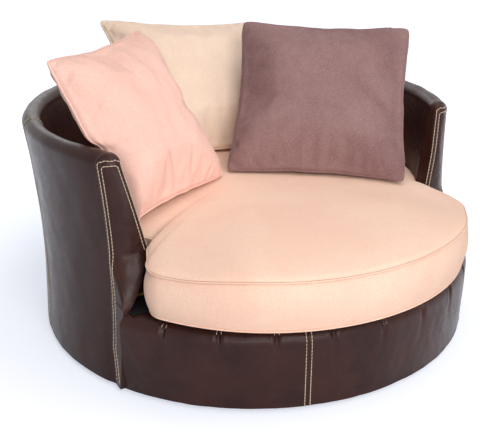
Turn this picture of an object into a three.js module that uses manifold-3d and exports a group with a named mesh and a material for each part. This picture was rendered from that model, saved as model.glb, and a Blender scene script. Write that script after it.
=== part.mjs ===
// A round swivel cuddle chair: a leather drum and barrel back on a floor ring and ball bearing,
// with a loose T-shaped seat cushion and three loose pillows.
// Millimetres, +Z up, front towards -Y, origin on the floor under the middle of the chair.
import * as THREE from 'three';
import { mergeVertices } from 'three/addons/utils/BufferGeometryUtils.js';
import Module from 'manifold-3d';

const wasm = await Module();
wasm.setup();

// Driving dimensions of the upholstered body.
const drum_radius = 600;
const hem_height = 15;
const rim_height = 590;
const rim_taper = 3;
const rim_roll_radius = 25;
const rim_setback = 98;
const rake_power = 0.75;
const waist_height = 290;
const waist_taper = 20;
const arm_rake = 78;
const arm_rake_power = 0.45;
const arm_front_setback = 336;
const wall_foot_thickness = 128;
const swivel_axis_lead = 15;
const cover_thickness = 4;
const fit_gap = 0.3;

// Driving dimensions of the seat.
const deck_pad_thickness = 16;
const deck_edge_setback = 4;
const deck_corner_angle = THREE.MathUtils.degToRad(49);
const deck_corner_turn = THREE.MathUtils.degToRad(98);
const deck_corner_radius = 34;
const deck_wing_inset = 177;
const deck_wing_lead = 23;
const cushion_overhang = 57;
const cushion_front_radius = 560;
const cushion_thickness = 128;
const cushion_crown = 50;
const cushion_corner_angle = THREE.MathUtils.degToRad(56);
const cushion_corner_turn = THREE.MathUtils.degToRad(72);
const cushion_corner_radius = 80;
const cushion_edge_round = 9;
const cushion_wall_gap = 2;
const cushion_inset_shares = [2.2, 0.9, 0.8];
const cushion_base_share = 0.6;
const crown_shares = [[0.96, 0.24], [0.86, 0.56], [0.68, 0.82], [0.4, 0.96]];
const wing_back_inset = 172;
const wing_back_setback = 14;

// Front border, the leather band below the cushion between the arms.
const border_bulge = 9;
const border_foot_swell = 4;
const border_lead = 33;
const border_top = 220;
const border_roll_drop = 34;
const border_cover_thickness = 3;
const border_tuck_depth = 5;
const border_tuck_pitch = THREE.MathUtils.degToRad(12.9);
const border_tuck_center = THREE.MathUtils.degToRad(2);
const border_tuck_width = THREE.MathUtils.degToRad(1.1);
const border_tuck_count = 9;
const border_tuck_fade = 60;

// Seam of the two wall covers, as a share of the rim's half turn from the outside.
const rim_seam_share = 0.86;

// Arm front panels.
const panel_depth = 22;
const panel_crown = 6;
const panel_edge_radius = 9;
const panel_step_height = 36;
const panel_step_shares = [0.33, 0.66];
const strip_gap = 1.2;

// Timber frame.
const board = 18;
const ring_edge_setback = 30;
const ring_width = 140;
const seat_ring_clearance = 27;
const rail_width = 45;
const rail_depth = 40;
const seat_ring_reach = 32;
const seat_ring_width = 80;
const seat_ring_drop = 35;
const post_bearing_width = 40;
const front_post_width = 45;
const front_post_spread = THREE.MathUtils.degToRad(39);
const board_round_share = 0.85;
const rib_count = 7;
const rib_spread = THREE.MathUtils.degToRad(96);
const foam_foot_thickness = 38;
const foam_top_thickness = 9;
const rim_rail_drop = 35;
const dust_cloth_thickness = 1.5;

// Seat springs.
const spring_count = 5;
const spring_side_inset = 180;
const spring_wire_radius = 2;
const spring_half_width = 24;
const spring_half_loops = 20;
const spring_overlap = 34;
const clip_length = 8;
const clip_foot = 9;
const clip_sheet = 1.5;
const clip_side_gap = 3.6;

// Floor base and bearing.
const glide_height = 6;
const glide_radius = 20;
const glide_count = 4;
const floor_ring_inset = 140;
const floor_tube_radius = 12;
const cross_bar_width = 44;
const cross_bar_thickness = 6;
const cross_hub_radius = 150;
const race_plate_radius = 140;
const race_plate_thickness = 4;
const ball_radius = 6;
const ball_count = 12;
const ball_circle_radius = 112;
const groove_depth = 1.5;
const cage_width = 22;
const cage_thickness = 2.4;
const king_bolt_radius = 8;
const king_bolt_clearance = 0.5;
const king_bolt_head_radius = 16;
const king_bolt_head_height = 5;

// Loose pillows: the insets place the middle of the lower edge, measured from the drum's side,
// front or rear, and the margin sets the side. Turn is seen from above, lean from upright.
const pillow_thickness = 150;
const pillow_edge_thickness = 7;
const pillow_clearance = 0.4;
const pillow_sink = 3;
const pillow_draw_share = 0.07;
const right_pillow_margin = 103;
const right_pillow_side_inset = 485;
const right_pillow_front_inset = 452;
const right_pillow_turn = THREE.MathUtils.degToRad(-33.7);
const right_pillow_lean = THREE.MathUtils.degToRad(43.3);
const right_pillow_roll = THREE.MathUtils.degToRad(-1.8);
const left_pillow_margin = 142;
const left_pillow_side_inset = 303;
const left_pillow_front_inset = 452;
const left_pillow_turn = THREE.MathUtils.degToRad(32.3);
const left_pillow_lean = THREE.MathUtils.degToRad(36.1);
const left_pillow_roll = THREE.MathUtils.degToRad(0.8);
const left_pillow_skew_share = 0.173;
const back_pillow_margin = 110;
const back_pillow_offset = 10;
const back_pillow_rear_inset = 435;
const back_pillow_turn = THREE.MathUtils.degToRad(-3.8);
const back_pillow_lean = THREE.MathUtils.degToRad(48.7);
const back_pillow_roll = THREE.MathUtils.degToRad(-2.4);

// Mesh fineness.
const wall_steps = 36;
const border_steps = 26;
const ring_steps = 48;
const roll_steps = 6;
const pillow_steps = 12;
const cushion_front_steps = 30;
const cushion_back_steps = 30;
const cushion_corner_steps = 4;
const overrun = 2;
const wire_sides = 4;

// Materials.
function finish(name, color, roughness, metalness = 0) {
  return new THREE.MeshStandardMaterial({ name, color, roughness, metalness });
}
const leather = () => finish('leather', 0x3f2c29, 0.38);
const leather_edge = () => finish('leather', 0x473330, 0.36);
const peach = () => finish('seat_fabric', 0xf3cdb0, 0.9);
const pink = () => finish('pillow_pink', 0xe9b9a9, 0.9);
const cream = () => finish('pillow_cream', 0xf2dcc0, 0.9);
const mauve = () => finish('pillow_mauve', 0x80605b, 0.88);
const timber = () => finish('timber', 0xc9a572, 0.7);
const foam = () => finish('foam', 0xe9e0c4, 0.95);
const steel = () => finish('steel', 0x8d9094, 0.35, 0.9);
const painted_steel = () => finish('painted_steel', 0x1d1d1f, 0.5, 0.6);
const nylon = () => finish('nylon', 0x2a2a2c, 0.6);
const dark_cloth = () => finish('dark_cloth', 0x18171a, 0.95);

const chair = new THREE.Group();
chair.name = 'cuddle_chair';
chair.position.y = -swivel_axis_lead;
const base_group = new THREE.Group();
const body_group = new THREE.Group();
const loose_group = new THREE.Group();
chair.add(base_group, body_group, loose_group);

function addPiece(group, name, geometry, material) {
  const mesh = new THREE.Mesh(geometry, material);
  mesh.name = name;
  group.add(mesh);
  return mesh;
}

// Shape of the barrel: a cone of walls whose centre moves back with height.
const lerp = THREE.MathUtils.lerp;
const arm_front = drum_radius - arm_front_setback;
const rim_outer_radius = drum_radius - rim_taper;
const wall_foot_radius = drum_radius - wall_foot_thickness;
const rim_roll_center = rim_height - rim_roll_radius;
const rim_crown_radius = rim_outer_radius - rim_roll_radius;
const wall_sag = chordSag(drum_radius, 2 * (Math.PI - Math.acos(arm_front / drum_radius)), wall_steps);
const wall_level_shares = [0, 0.17, 0.36, 0.6, 0.82, 1];
const wall_levels = wall_level_shares.map((share) => lerp(hem_height, rim_roll_center, share));
const border_sag = chordSag(drum_radius, 2 * Math.acos(arm_front / drum_radius), border_steps);
const deck_bottom = border_top + fit_gap;
const deck_top = deck_bottom + deck_pad_thickness;
const cushion_bottom = deck_top + fit_gap;
const cushion_welt = cushion_bottom + cushion_thickness;
const cushion_front_center = cushion_front_radius - drum_radius - cushion_overhang;
const border_outer_radius = drum_radius + border_bulge;
const border_foot_radius = drum_radius + border_foot_swell;
const border_end_y = arm_front + border_lead;
const deck_wing_x = drum_radius - deck_wing_inset;
const deck_wing_y = border_end_y + deck_wing_lead;
const wing_back_x = drum_radius - wing_back_inset;
const wing_back_y = border_end_y - wing_back_setback;
const ring_outer_radius = drum_radius - ring_edge_setback;
const ring_inner_radius = ring_outer_radius - ring_width;
const front_rail_outer_radius = ring_outer_radius;
const front_rail_inner_radius = front_rail_outer_radius - board;
const deck_front_radius = front_rail_outer_radius - deck_edge_setback;
const seat_ring_inner_radius = wall_foot_radius - seat_ring_reach;
const seat_ring_outer_radius = seat_ring_inner_radius + seat_ring_width;
const seat_ring_bottom = border_top - seat_ring_drop;
const seat_ring_top = seat_ring_bottom + board;
const floor_ring_radius = ring_inner_radius - floor_ring_inset;
const spring_pitch = 2 * (seat_ring_inner_radius - spring_side_inset) / (spring_count - 1);
const post_inner_radius = seat_ring_outer_radius - post_bearing_width;
const rim_rail_bottom = rim_roll_center - rim_rail_drop;

// How far the middle of a chord falls inside its circle.
function chordSag(radius, span, steps) {
  return radius * (1 - Math.cos(span / steps / 2));
}
// The wall runs straight between its levels, so every layer of it follows the same lines.
function alongWall(curve) {
  const values = wall_levels.map(curve);
  return (z) => {
    const next = wall_levels.findIndex((level, i) => i > 0 && level >= z);
    const i = next < 0 ? wall_levels.length - 1 : next;
    const share = (z - wall_levels[i - 1]) / (wall_levels[i] - wall_levels[i - 1]);
    return lerp(values[i - 1], values[i], share);
  };
}
const rakeAt = alongWall((z) => rim_setback * ((z - hem_height) / (rim_height - hem_height)) ** rake_power);
const outerRadius = alongWall((z) => {
  const end = z < waist_height ? hem_height : rim_roll_center;
  const flare = (z < waist_height ? 0 : -rim_taper) + waist_taper;
  return drum_radius - waist_taper + flare * ((z - waist_height) / (end - waist_height)) ** 2;
});
// The arms' front ends lean back less than the wall's centre does.
const armRakeAt = alongWall((z) => {
  const rise = (z - hem_height) / (rim_roll_center - hem_height);
  return arm_rake * rise ** arm_rake_power;
});
// How far the arms' front ends stand forward of the wall's centre.
function armDepth(z) {
  return arm_front + rakeAt(z) - armRakeAt(z);
}
// The heights of an outline's points from one end to the other, with the wall's levels between.
function levelsBetween(low, high) {
  return [low, ...wall_levels.filter((level) => level > low + fit_gap && level < high - fit_gap), high];
}
function innerRadius(z) {
  const rim_inner_radius = rim_crown_radius - rim_roll_radius;
  return lerp(wall_foot_radius, rim_inner_radius, (z - deck_bottom) / (rim_roll_center - deck_bottom));
}
function rollPoint(radius, angle) {
  return [rim_crown_radius + radius * Math.cos(angle), rim_roll_center + radius * Math.sin(angle)];
}
function rollArc(radius, from, to, steps) {
  const points = [];
  for (let i = 0; i <= steps; i += 1) {
    points.push(rollPoint(radius, lerp(from, to, i / steps)));
  }
  return points;
}

// Geometry helpers.
function fromTriangles(points, faces) {
  const geometry = new THREE.BufferGeometry();
  geometry.setAttribute('position', new THREE.Float32BufferAttribute(points.flat(), 3));
  geometry.setIndex(faces.flat());
  return outward(geometry);
}

// Turns every face over where the enclosed volume comes out negative.
function outward(geometry) {
  const position = geometry.attributes.position;
  const index = geometry.index;
  const a = new THREE.Vector3();
  const b = new THREE.Vector3();
  const c = new THREE.Vector3();
  let volume = 0;
  for (let i = 0; i < index.count; i += 3) {
    a.fromBufferAttribute(position, index.getX(i));
    b.fromBufferAttribute(position, index.getX(i + 1));
    c.fromBufferAttribute(position, index.getX(i + 2));
    volume += a.dot(b.cross(c));
  }
  if (volume < 0) {
    for (let i = 0; i < index.count; i += 3) {
      const first = index.getX(i);
      index.setX(i, index.getX(i + 1));
      index.setX(i + 1, first);
    }
  }
  geometry.computeVertexNormals();
  return geometry;
}

function weld(geometry) {
  const bare = geometry.clone();
  bare.deleteAttribute('normal');
  bare.deleteAttribute('uv');
  return outward(mergeVertices(bare, fit_gap / 1000));
}

function toSolid(geometry) {
  const merged = weld(geometry);
  const mesh = new wasm.Mesh({
    numProp: 3,
    vertProperties: new Float32Array(merged.attributes.position.array),
    triVerts: new Uint32Array(merged.index.array),
  });
  return new wasm.Manifold(mesh);
}

function toGeometry(solid) {
  const mesh = solid.getMesh();
  const geometry = new THREE.BufferGeometry();
  geometry.setAttribute('position', new THREE.BufferAttribute(new Float32Array(mesh.vertProperties), 3));
  geometry.setIndex(new THREE.BufferAttribute(new Uint32Array(mesh.triVerts), 1));
  return outward(geometry);
}

// Sweeps a closed outline of [radius, height] points round the axis, ring by ring.
// start and end give the angle from the front for each outline point; full turns close up.
// shares places the rings between start and end; reshape moves the radius of a ring's points.
function sweep(outline, options) {
  const { steps, start, end, shares, closed = false, raked = true, reshape = null } = options;
  const places = shares ?? Array.from({ length: closed ? steps : steps + 1 }, (_, i) => i / steps);
  const rings = places.length;
  const points = [];
  for (const share of places) {
    for (const [radius, z] of outline) {
      const from = closed ? 0 : start(radius, z);
      const to = closed ? 2 * Math.PI : end(radius, z);
      const angle = lerp(from, to, share);
      const r = reshape ? reshape(radius, z, angle) : radius;
      const shift = raked ? rakeAt(z) : 0;
      points.push([r * Math.sin(angle), shift - r * Math.cos(angle), z]);
    }
  }
  const n = outline.length;
  const faces = [];
  for (let i = 0; i < (closed ? rings : rings - 1); i += 1) {
    faces.push(...bandFaces(n, i * n, ((i + 1) % rings) * n));
  }
  if (!closed) {
    faces.push(...capFaces(outline, faces, (rings - 1) * n));
  }
  return fromTriangles(points, faces);
}

// Joins two rings of n points that start at the given indices.
function bandFaces(n, near, far) {
  const faces = [];
  for (let j = 0; j < n; j += 1) {
    const k = (j + 1) % n;
    faces.push([near + j, near + k, far + k], [near + j, far + k, far + j]);
  }
  return faces;
}

// Closes the first and the last ring, turned the same way round as the band between them.
// The faces stop at each level of the wall, because the wall bends there.
function capFaces(outline, band, last) {
  const caps = [];
  const cuts = wall_levels.slice(1, -1).filter((cut) => outline.some(([, z]) => Math.abs(z - cut) < fit_gap));
  for (const [i, low] of [-Infinity, ...cuts].entries()) {
    const high = cuts[i] ?? Infinity;
    const slice = outline.map((_, k) => k).filter((k) => {
      return outline[k][1] > low - fit_gap && outline[k][1] < high + fit_gap;
    });
    const flat = slice.map((k) => new THREE.Vector2(...outline[k]));
    for (const [a, b, c] of THREE.ShapeUtils.triangulateShape(flat, [])) {
      caps.push([slice[c], slice[b], slice[a]], [last + slice[a], last + slice[b], last + slice[c]]);
    }
  }
  const edges = new Set(band.flatMap(([a, b, c]) => [`${a},${b}`, `${b},${c}`, `${c},${a}`]));
  const clash = caps.some(([a, b, c]) => [`${a},${b}`, `${b},${c}`, `${c},${a}`].some((e) => edges.has(e)));
  return clash ? caps.map((face) => face.reverse()) : caps;
}

// Angle from the front at which a circle of this radius meets the plane a given way forward.
function angleAtDepth(depth) {
  return (radius) => Math.acos(Math.min(1, depth / radius));
}
function acrossFront(depth) {
  const limit = angleAtDepth(depth);
  return { start: (radius) => -limit(radius), end: limit };
}
// The same for a circle of the wall, measured from the leaning front ends of the arms.
function angleAtArm(depth) {
  return (radius, z) => angleAtDepth(depth + armDepth(z) - arm_front)(radius);
}
function roundTheBack(depth) {
  const begin = angleAtArm(depth);
  return { start: begin, end: (radius, z) => 2 * Math.PI - begin(radius, z) };
}

function ringBoard(inner, outer, bottom, top, raked = false) {
  const outline = [[inner, bottom], [outer, bottom], [outer, top], [inner, top]];
  return sweep(outline, { steps: ring_steps, closed: true, raked });
}

// Floor base: glides, tube ring, cross, lower race, ball cage and king bolt.
const ring_center_z = glide_height + fit_gap + floor_tube_radius;
const cross_bottom = ring_center_z + floor_tube_radius + fit_gap;
const cross_top = cross_bottom + cross_bar_thickness;
const lower_race_bottom = cross_top + fit_gap;
const lower_race_top = lower_race_bottom + race_plate_thickness;
const ball_center_z = lower_race_top - groove_depth + fit_gap + ball_radius;
const upper_race_bottom = ball_center_z + ball_radius + fit_gap - groove_depth;
const upper_race_top = upper_race_bottom + race_plate_thickness;
const frame_bottom = upper_race_top + fit_gap;

function buildGlides() {
  for (let i = 0; i < glide_count; i += 1) {
    const angle = Math.PI / 4 + i * 2 * Math.PI / glide_count;
    const chamfer = glide_height / 3;
    const profile = [
      new THREE.Vector2(0, 0),
      new THREE.Vector2(glide_radius - chamfer, 0),
      new THREE.Vector2(glide_radius, chamfer),
      new THREE.Vector2(glide_radius, glide_height),
      new THREE.Vector2(0, glide_height),
    ];
    const geometry = weld(new THREE.LatheGeometry(profile, 20).rotateX(Math.PI / 2));
    const mesh = addPiece(base_group, `floor_glide_${i + 1}`, geometry, nylon());
    mesh.position.set(floor_ring_radius * Math.cos(angle), floor_ring_radius * Math.sin(angle), 0);
  }
}

function buildFloorRing() {
  const sides = 8;
  const outline = [];
  for (let i = 0; i < sides; i += 1) {
    const angle = (i + 0.5) * 2 * Math.PI / sides;
    const reach = floor_tube_radius / Math.cos(Math.PI / sides);
    outline.push([floor_ring_radius + reach * Math.cos(angle), ring_center_z + reach * Math.sin(angle)]);
  }
  const geometry = sweep(outline, { steps: ring_steps, closed: true, raked: false });
  addPiece(base_group, 'floor_ring', geometry, painted_steel());
}

function buildFloorCross() {
  const length = 2 * (floor_ring_radius + floor_tube_radius);
  const middle = (cross_bottom + cross_top) / 2;
  const bar = new THREE.BoxGeometry(length, cross_bar_width, cross_bar_thickness);
  let cross = toSolid(bar.clone().rotateZ(Math.PI / 4).translate(0, 0, middle));
  cross = cross.add(toSolid(bar.clone().rotateZ(-Math.PI / 4).translate(0, 0, middle)));
  const hub = new THREE.CylinderGeometry(cross_hub_radius, cross_hub_radius, cross_bar_thickness, 40);
  cross = cross.add(toSolid(hub.rotateX(Math.PI / 2).translate(0, 0, middle)));
  addPiece(base_group, 'floor_cross', toGeometry(cross), painted_steel());
}

function racePlate(bottom, top, groove_on_top) {
  const hole = king_bolt_radius + king_bolt_clearance;
  const half = Math.sqrt(ball_radius ** 2 - (ball_radius - groove_depth) ** 2) + fit_gap;
  const grooved = groove_on_top ? top : bottom;
  const plain = groove_on_top ? bottom : top;
  const floor = groove_on_top ? top - groove_depth : bottom + groove_depth;
  const outline = [
    [hole, plain],
    [race_plate_radius, plain],
    [race_plate_radius, grooved],
    [ball_circle_radius + half, grooved],
    [ball_circle_radius + half / 3, floor],
    [ball_circle_radius - half / 3, floor],
    [ball_circle_radius - half, grooved],
    [hole, grooved],
  ];
  return sweep(outline, { steps: 40, closed: true, raked: false });
}

// The balls are held in one cage, as in a turntable bearing, and each fills its pocket.
function buildBallCage() {
  const half_width = cage_width / 2;
  const inner = ball_circle_radius - half_width;
  const outer = ball_circle_radius + half_width;
  const low = ball_center_z - cage_thickness / 2;
  const high = ball_center_z + cage_thickness / 2;
  const ring = [[inner, low], [outer, low], [outer, high], [inner, high]];
  let cage = toSolid(sweep(ring, { steps: 32, closed: true, raked: false }));
  for (let i = 0; i < ball_count; i += 1) {
    const angle = (i + 0.5) * 2 * Math.PI / ball_count;
    const ball = new THREE.SphereGeometry(ball_radius, 8, 6).rotateX(Math.PI / 2);
    ball.translate(ball_circle_radius * Math.cos(angle), ball_circle_radius * Math.sin(angle), ball_center_z);
    cage = cage.add(toSolid(ball));
  }
  addPiece(base_group, 'bearing_ball_cage', toGeometry(cage), steel());
}

function buildBearing() {
  const lower = racePlate(lower_race_bottom, lower_race_top, true);
  addPiece(base_group, 'lower_race_plate', lower, steel());
  buildBallCage();
  const upper = racePlate(upper_race_bottom, upper_race_top, false);
  addPiece(body_group, 'upper_race_plate', upper, steel());
  const head_bottom = upper_race_top + fit_gap;
  const head_top = head_bottom + king_bolt_head_height;
  const foot = cross_top + fit_gap;
  const profile = [
    new THREE.Vector2(0, foot),
    new THREE.Vector2(king_bolt_radius, foot),
    new THREE.Vector2(king_bolt_radius, head_bottom),
    new THREE.Vector2(king_bolt_head_radius, head_bottom),
    new THREE.Vector2(king_bolt_head_radius, head_top),
    new THREE.Vector2(0, head_top),
  ];
  const bolt = weld(new THREE.LatheGeometry(profile, 24).rotateX(Math.PI / 2));
  addPiece(base_group, 'king_bolt', bolt, steel());
}

// Timber frame under the seat.
const ring_top = frame_bottom - fit_gap;
const bottom_ring_z = ring_top - board;

function crossRail(notch_up) {
  const half = post_inner_radius - fit_gap;
  const top = frame_bottom + rail_depth;
  const lap = frame_bottom + rail_depth / 2;
  const edge = rail_width / 2 + fit_gap;
  const lap_low = lap - fit_gap / 2;
  const lap_high = lap + fit_gap / 2;
  const shape = new THREE.Shape();
  if (notch_up) {
    shape.moveTo(-half, frame_bottom);
    shape.lineTo(half, frame_bottom);
    shape.lineTo(half, top);
    shape.lineTo(edge, top);
    shape.lineTo(edge, lap_low);
    shape.lineTo(-edge, lap_low);
    shape.lineTo(-edge, top);
    shape.lineTo(-half, top);
  } else {
    shape.moveTo(-half, frame_bottom);
    shape.lineTo(-edge, frame_bottom);
    shape.lineTo(-edge, lap_high);
    shape.lineTo(edge, lap_high);
    shape.lineTo(edge, frame_bottom);
    shape.lineTo(half, frame_bottom);
    shape.lineTo(half, top);
    shape.lineTo(-half, top);
  }
  shape.closePath();
  const geometry = new THREE.ExtrudeGeometry(shape, { depth: rail_width, bevelEnabled: false });
  geometry.translate(0, 0, -rail_width / 2).rotateX(Math.PI / 2);
  return geometry;
}

function buildCrossRails() {
  const bore_radius = king_bolt_head_radius + king_bolt_clearance;
  const bore_height = 2 * (king_bolt_head_height + fit_gap + overrun);
  const bore = new THREE.CylinderGeometry(bore_radius, bore_radius, bore_height, 24);
  bore.rotateX(Math.PI / 2).translate(0, 0, frame_bottom);
  const lower = toSolid(crossRail(true)).subtract(toSolid(bore));
  addPiece(body_group, 'cross_rail_lower', toGeometry(lower), timber());
  const upper = weld(crossRail(false).rotateZ(Math.PI / 2));
  addPiece(body_group, 'cross_rail_upper', upper, timber());
}

function buildRings() {
  const bottom = ringBoard(ring_inner_radius, ring_outer_radius, bottom_ring_z, ring_top);
  addPiece(body_group, 'bottom_ring', bottom, timber());
  const seat = ringBoard(seat_ring_inner_radius, seat_ring_outer_radius, seat_ring_bottom, seat_ring_top);
  addPiece(body_group, 'seat_ring', seat, timber());
}

// A rib of the barrel: it stands on the bottom ring, carries the seat ring on a ledge
// and rises between the two covers to the rim rail.
function ribOutline(shift) {
  const back = cover_thickness + fit_gap + wall_sag;
  const top = rim_rail_bottom - fit_gap;
  const ledge = seat_ring_bottom - fit_gap;
  const shelf = seat_ring_top + fit_gap;
  const foam_back = (z) => foamBack(z) + fit_gap + wall_sag;
  const low = (radius, z) => radius - shift * rakeAt(z);
  return [
    ...levelsBetween(frame_bottom, top).map((z) => [outerRadius(z) - back, z]),
    ...levelsBetween(shelf, top).reverse().map((z) => [foam_back(z), z]),
    [low(seat_ring_outer_radius + fit_gap, shelf), shelf],
    [low(seat_ring_outer_radius + fit_gap, ledge), ledge],
    ...levelsBetween(frame_bottom, ledge).reverse().map((z) => [low(post_inner_radius, z), z]),
  ];
}

function foamBack(z) {
  const share = (z - seat_ring_top) / (rim_rail_bottom - seat_ring_top);
  return innerRadius(z) + cover_thickness + lerp(foam_foot_thickness, foam_top_thickness, share);
}

function buildRibs() {
  for (let i = 0; i < rib_count; i += 1) {
    const side = lerp(-1, 1, i / (rib_count - 1));
    const center = Math.PI + side * rib_spread;
    const face = (side_sign) => (radius, z) => {
      const rise = (z - frame_bottom) / (rim_rail_bottom - frame_bottom);
      const plane = lerp(rakeAt(frame_bottom), rakeAt(rim_rail_bottom), rise);
      return center + Math.asin((side_sign * board / 2 - Math.sin(center) * (rakeAt(z) - plane)) / radius);
    };
    const rib = sweep(ribOutline(-Math.cos(center)), { steps: 1, start: face(-1), end: face(1) });
    addPiece(body_group, `back_rib_${i + 1}`, rib, timber());
  }
}

function mirrored(geometry) {
  const copy = geometry.clone().scale(-1, 1, 1);
  return outward(copy);
}

// Boards that close the wall's ends and carry the arm front panels.
function buildArmBoards() {
  const back = cover_thickness + fit_gap + wall_sag;
  const near = arm_front - fit_gap;
  const far = arm_front - board;
  const ledge = seat_ring_bottom - fit_gap;
  const shelf = seat_ring_top + fit_gap;
  const roll = rollArc(rim_roll_radius - back, 0, Math.PI * board_round_share, roll_steps);
  const neck = roll[roll.length - 1][1] - board;
  const ring_edge = seat_ring_outer_radius + seat_ring_clearance;
  const side = levelsBetween(frame_bottom, rim_roll_center).slice(0, -1);
  const outline = [
    ...side.map((z) => [outerRadius(z) - back, z]),
    ...roll,
    ...levelsBetween(shelf, neck).reverse().map((z) => [innerRadius(z) + back, z]),
    [ring_edge, shelf],
    ...levelsBetween(frame_bottom, ledge).reverse().map((z) => [ring_edge, z]),
  ];
  const span = { start: angleAtArm(near), end: angleAtArm(far) };
  const board_piece = sweep(outline, { steps: 1, ...span });
  addPiece(body_group, 'arm_board_right', board_piece, timber());
  addPiece(body_group, 'arm_board_left', mirrored(board_piece), timber());
}

function buildRimRail() {
  const back = cover_thickness + fit_gap + wall_sag;
  const top = rim_rail_bottom + board;
  const span = roundTheBack(arm_front - board - fit_gap);
  const outline = [
    [innerRadius(rim_rail_bottom) + back, rim_rail_bottom],
    [outerRadius(rim_rail_bottom) - back, rim_rail_bottom],
    [outerRadius(top) - back, top],
    [innerRadius(top) + back, top],
  ];
  addPiece(body_group, 'rim_rail', sweep(outline, { steps: wall_steps, ...span }), timber());
  const low = top + fit_gap;
  const radius = rim_roll_radius - back - fit_gap;
  const dip = Math.asin((low - rim_roll_center) / radius);
  const roll = rollArc(radius, dip, Math.PI - dip, roll_steps);
  addPiece(body_group, 'rim_edge_roll', sweep(roll, { steps: wall_steps, ...span }), foam());
}

// Front of the frame: posts and the curved rail behind the border.
function buildFront() {
  const post_outer = front_rail_inner_radius - fit_gap - border_sag;
  const half = Math.asin(front_post_width / 2 / post_outer);
  for (let i = 0; i < 3; i += 1) {
    const center = (i - 1) * front_post_spread;
    const bottom = frame_bottom;
    const top = seat_ring_bottom - fit_gap;
    const inner = post_inner_radius + fit_gap;
    const outline = [[inner, bottom], [post_outer, bottom], [post_outer, top], [inner, top]];
    const post = sweep(outline, {
      steps: 1,
      raked: false,
      start: () => center - half,
      end: () => center + half,
    });
    addPiece(body_group, `front_post_${i + 1}`, post, timber());
  }
  const rail = [
    [front_rail_inner_radius, frame_bottom],
    [front_rail_outer_radius, frame_bottom],
    [front_rail_outer_radius, seat_ring_top],
    [front_rail_inner_radius, seat_ring_top],
  ];
  const geometry = sweep(rail, { steps: border_steps, raked: false, ...acrossFront(arm_front + fit_gap) });
  addPiece(body_group, 'front_rail', geometry, timber());
}

// Front border: a padded band with a rolled top edge that is tucked at even steps.
function borderSide(inset) {
  const low = hem_height + inset;
  const roll = border_roll_drop - inset;
  const foot = border_foot_radius - inset;
  const bulge = border_outer_radius - inset;
  const center_r = bulge - roll;
  const center_z = border_top - border_roll_drop;
  const points = [[foot, low], [lerp(foot, bulge, 0.75), lerp(low, center_z, 0.4)], [bulge, center_z]];
  for (let i = 1; i <= 4; i += 1) {
    const angle = i * Math.PI / 8;
    points.push([center_r + roll * Math.cos(angle), center_z + roll * Math.sin(angle)]);
  }
  return points;
}

// Angles of the tucks, from left to right.
function tuckAngles() {
  const first = border_tuck_center - (border_tuck_count - 1) / 2 * border_tuck_pitch;
  return Array.from({ length: border_tuck_count }, (_, i) => first + i * border_tuck_pitch);
}

// Radius of the border after its tucks pull the rolled edge in.
function tucked(radius, z, angle) {
  const off = Math.min(...tuckAngles().map((tuck) => Math.abs(angle - tuck)));
  const pull = Math.exp(-3 * (off / border_tuck_width) ** 2);
  const height = THREE.MathUtils.clamp((z - border_top + border_tuck_fade) / border_tuck_fade, 0, 1);
  const outer = THREE.MathUtils.smoothstep(radius, front_rail_outer_radius, border_outer_radius);
  return radius - border_tuck_depth * pull * height * outer;
}

// Rings of the border: three at each tuck and two more between neighbours.
function borderShares(limit) {
  const angles = [-limit, limit];
  const rest = (border_tuck_pitch - 2 * border_tuck_width) / 3;
  for (const tuck of tuckAngles()) {
    angles.push(tuck - border_tuck_width, tuck, tuck + border_tuck_width);
    angles.push(tuck + border_tuck_width + rest, tuck + border_tuck_width + 2 * rest);
  }
  const inside = angles.filter((angle) => Math.abs(angle) <= limit);
  return inside.sort((a, b) => a - b).map((angle) => (angle + limit) / 2 / limit);
}

function buildBorder() {
  const span = acrossFront(border_end_y);
  const inset = border_cover_thickness + border_tuck_depth + fit_gap + border_sag;
  const pad_side = borderSide(inset);
  const pad_top = pad_side[pad_side.length - 1][1];
  const pad_back = front_rail_outer_radius + fit_gap + border_sag;
  const pad = [
    ...pad_side,
    [front_rail_inner_radius, pad_top],
    [front_rail_inner_radius, seat_ring_top + fit_gap],
    [pad_back, seat_ring_top + fit_gap],
    [pad_back, hem_height + inset],
  ];
  const pad_piece = sweep(pad, { steps: border_steps, raked: false, ...span });
  addPiece(body_group, 'front_border_pad', pad_piece, foam());
  const outside = borderSide(0);
  const inside = borderSide(border_cover_thickness).filter((_, i) => i !== 1 && i !== 3 && i !== 5);
  const top = outside[outside.length - 1][1];
  const skin = [
    ...outside,
    [front_rail_inner_radius, top],
    [front_rail_inner_radius, top - border_cover_thickness],
    ...inside.reverse(),
  ];
  skin[skin.length - 1][1] = hem_height;
  const limit = Math.acos(border_end_y / border_outer_radius);
  const cover = sweep(skin, { shares: borderShares(limit), raked: false, reshape: tucked, ...span });
  addPiece(body_group, 'front_border', cover, leather());
}

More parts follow.
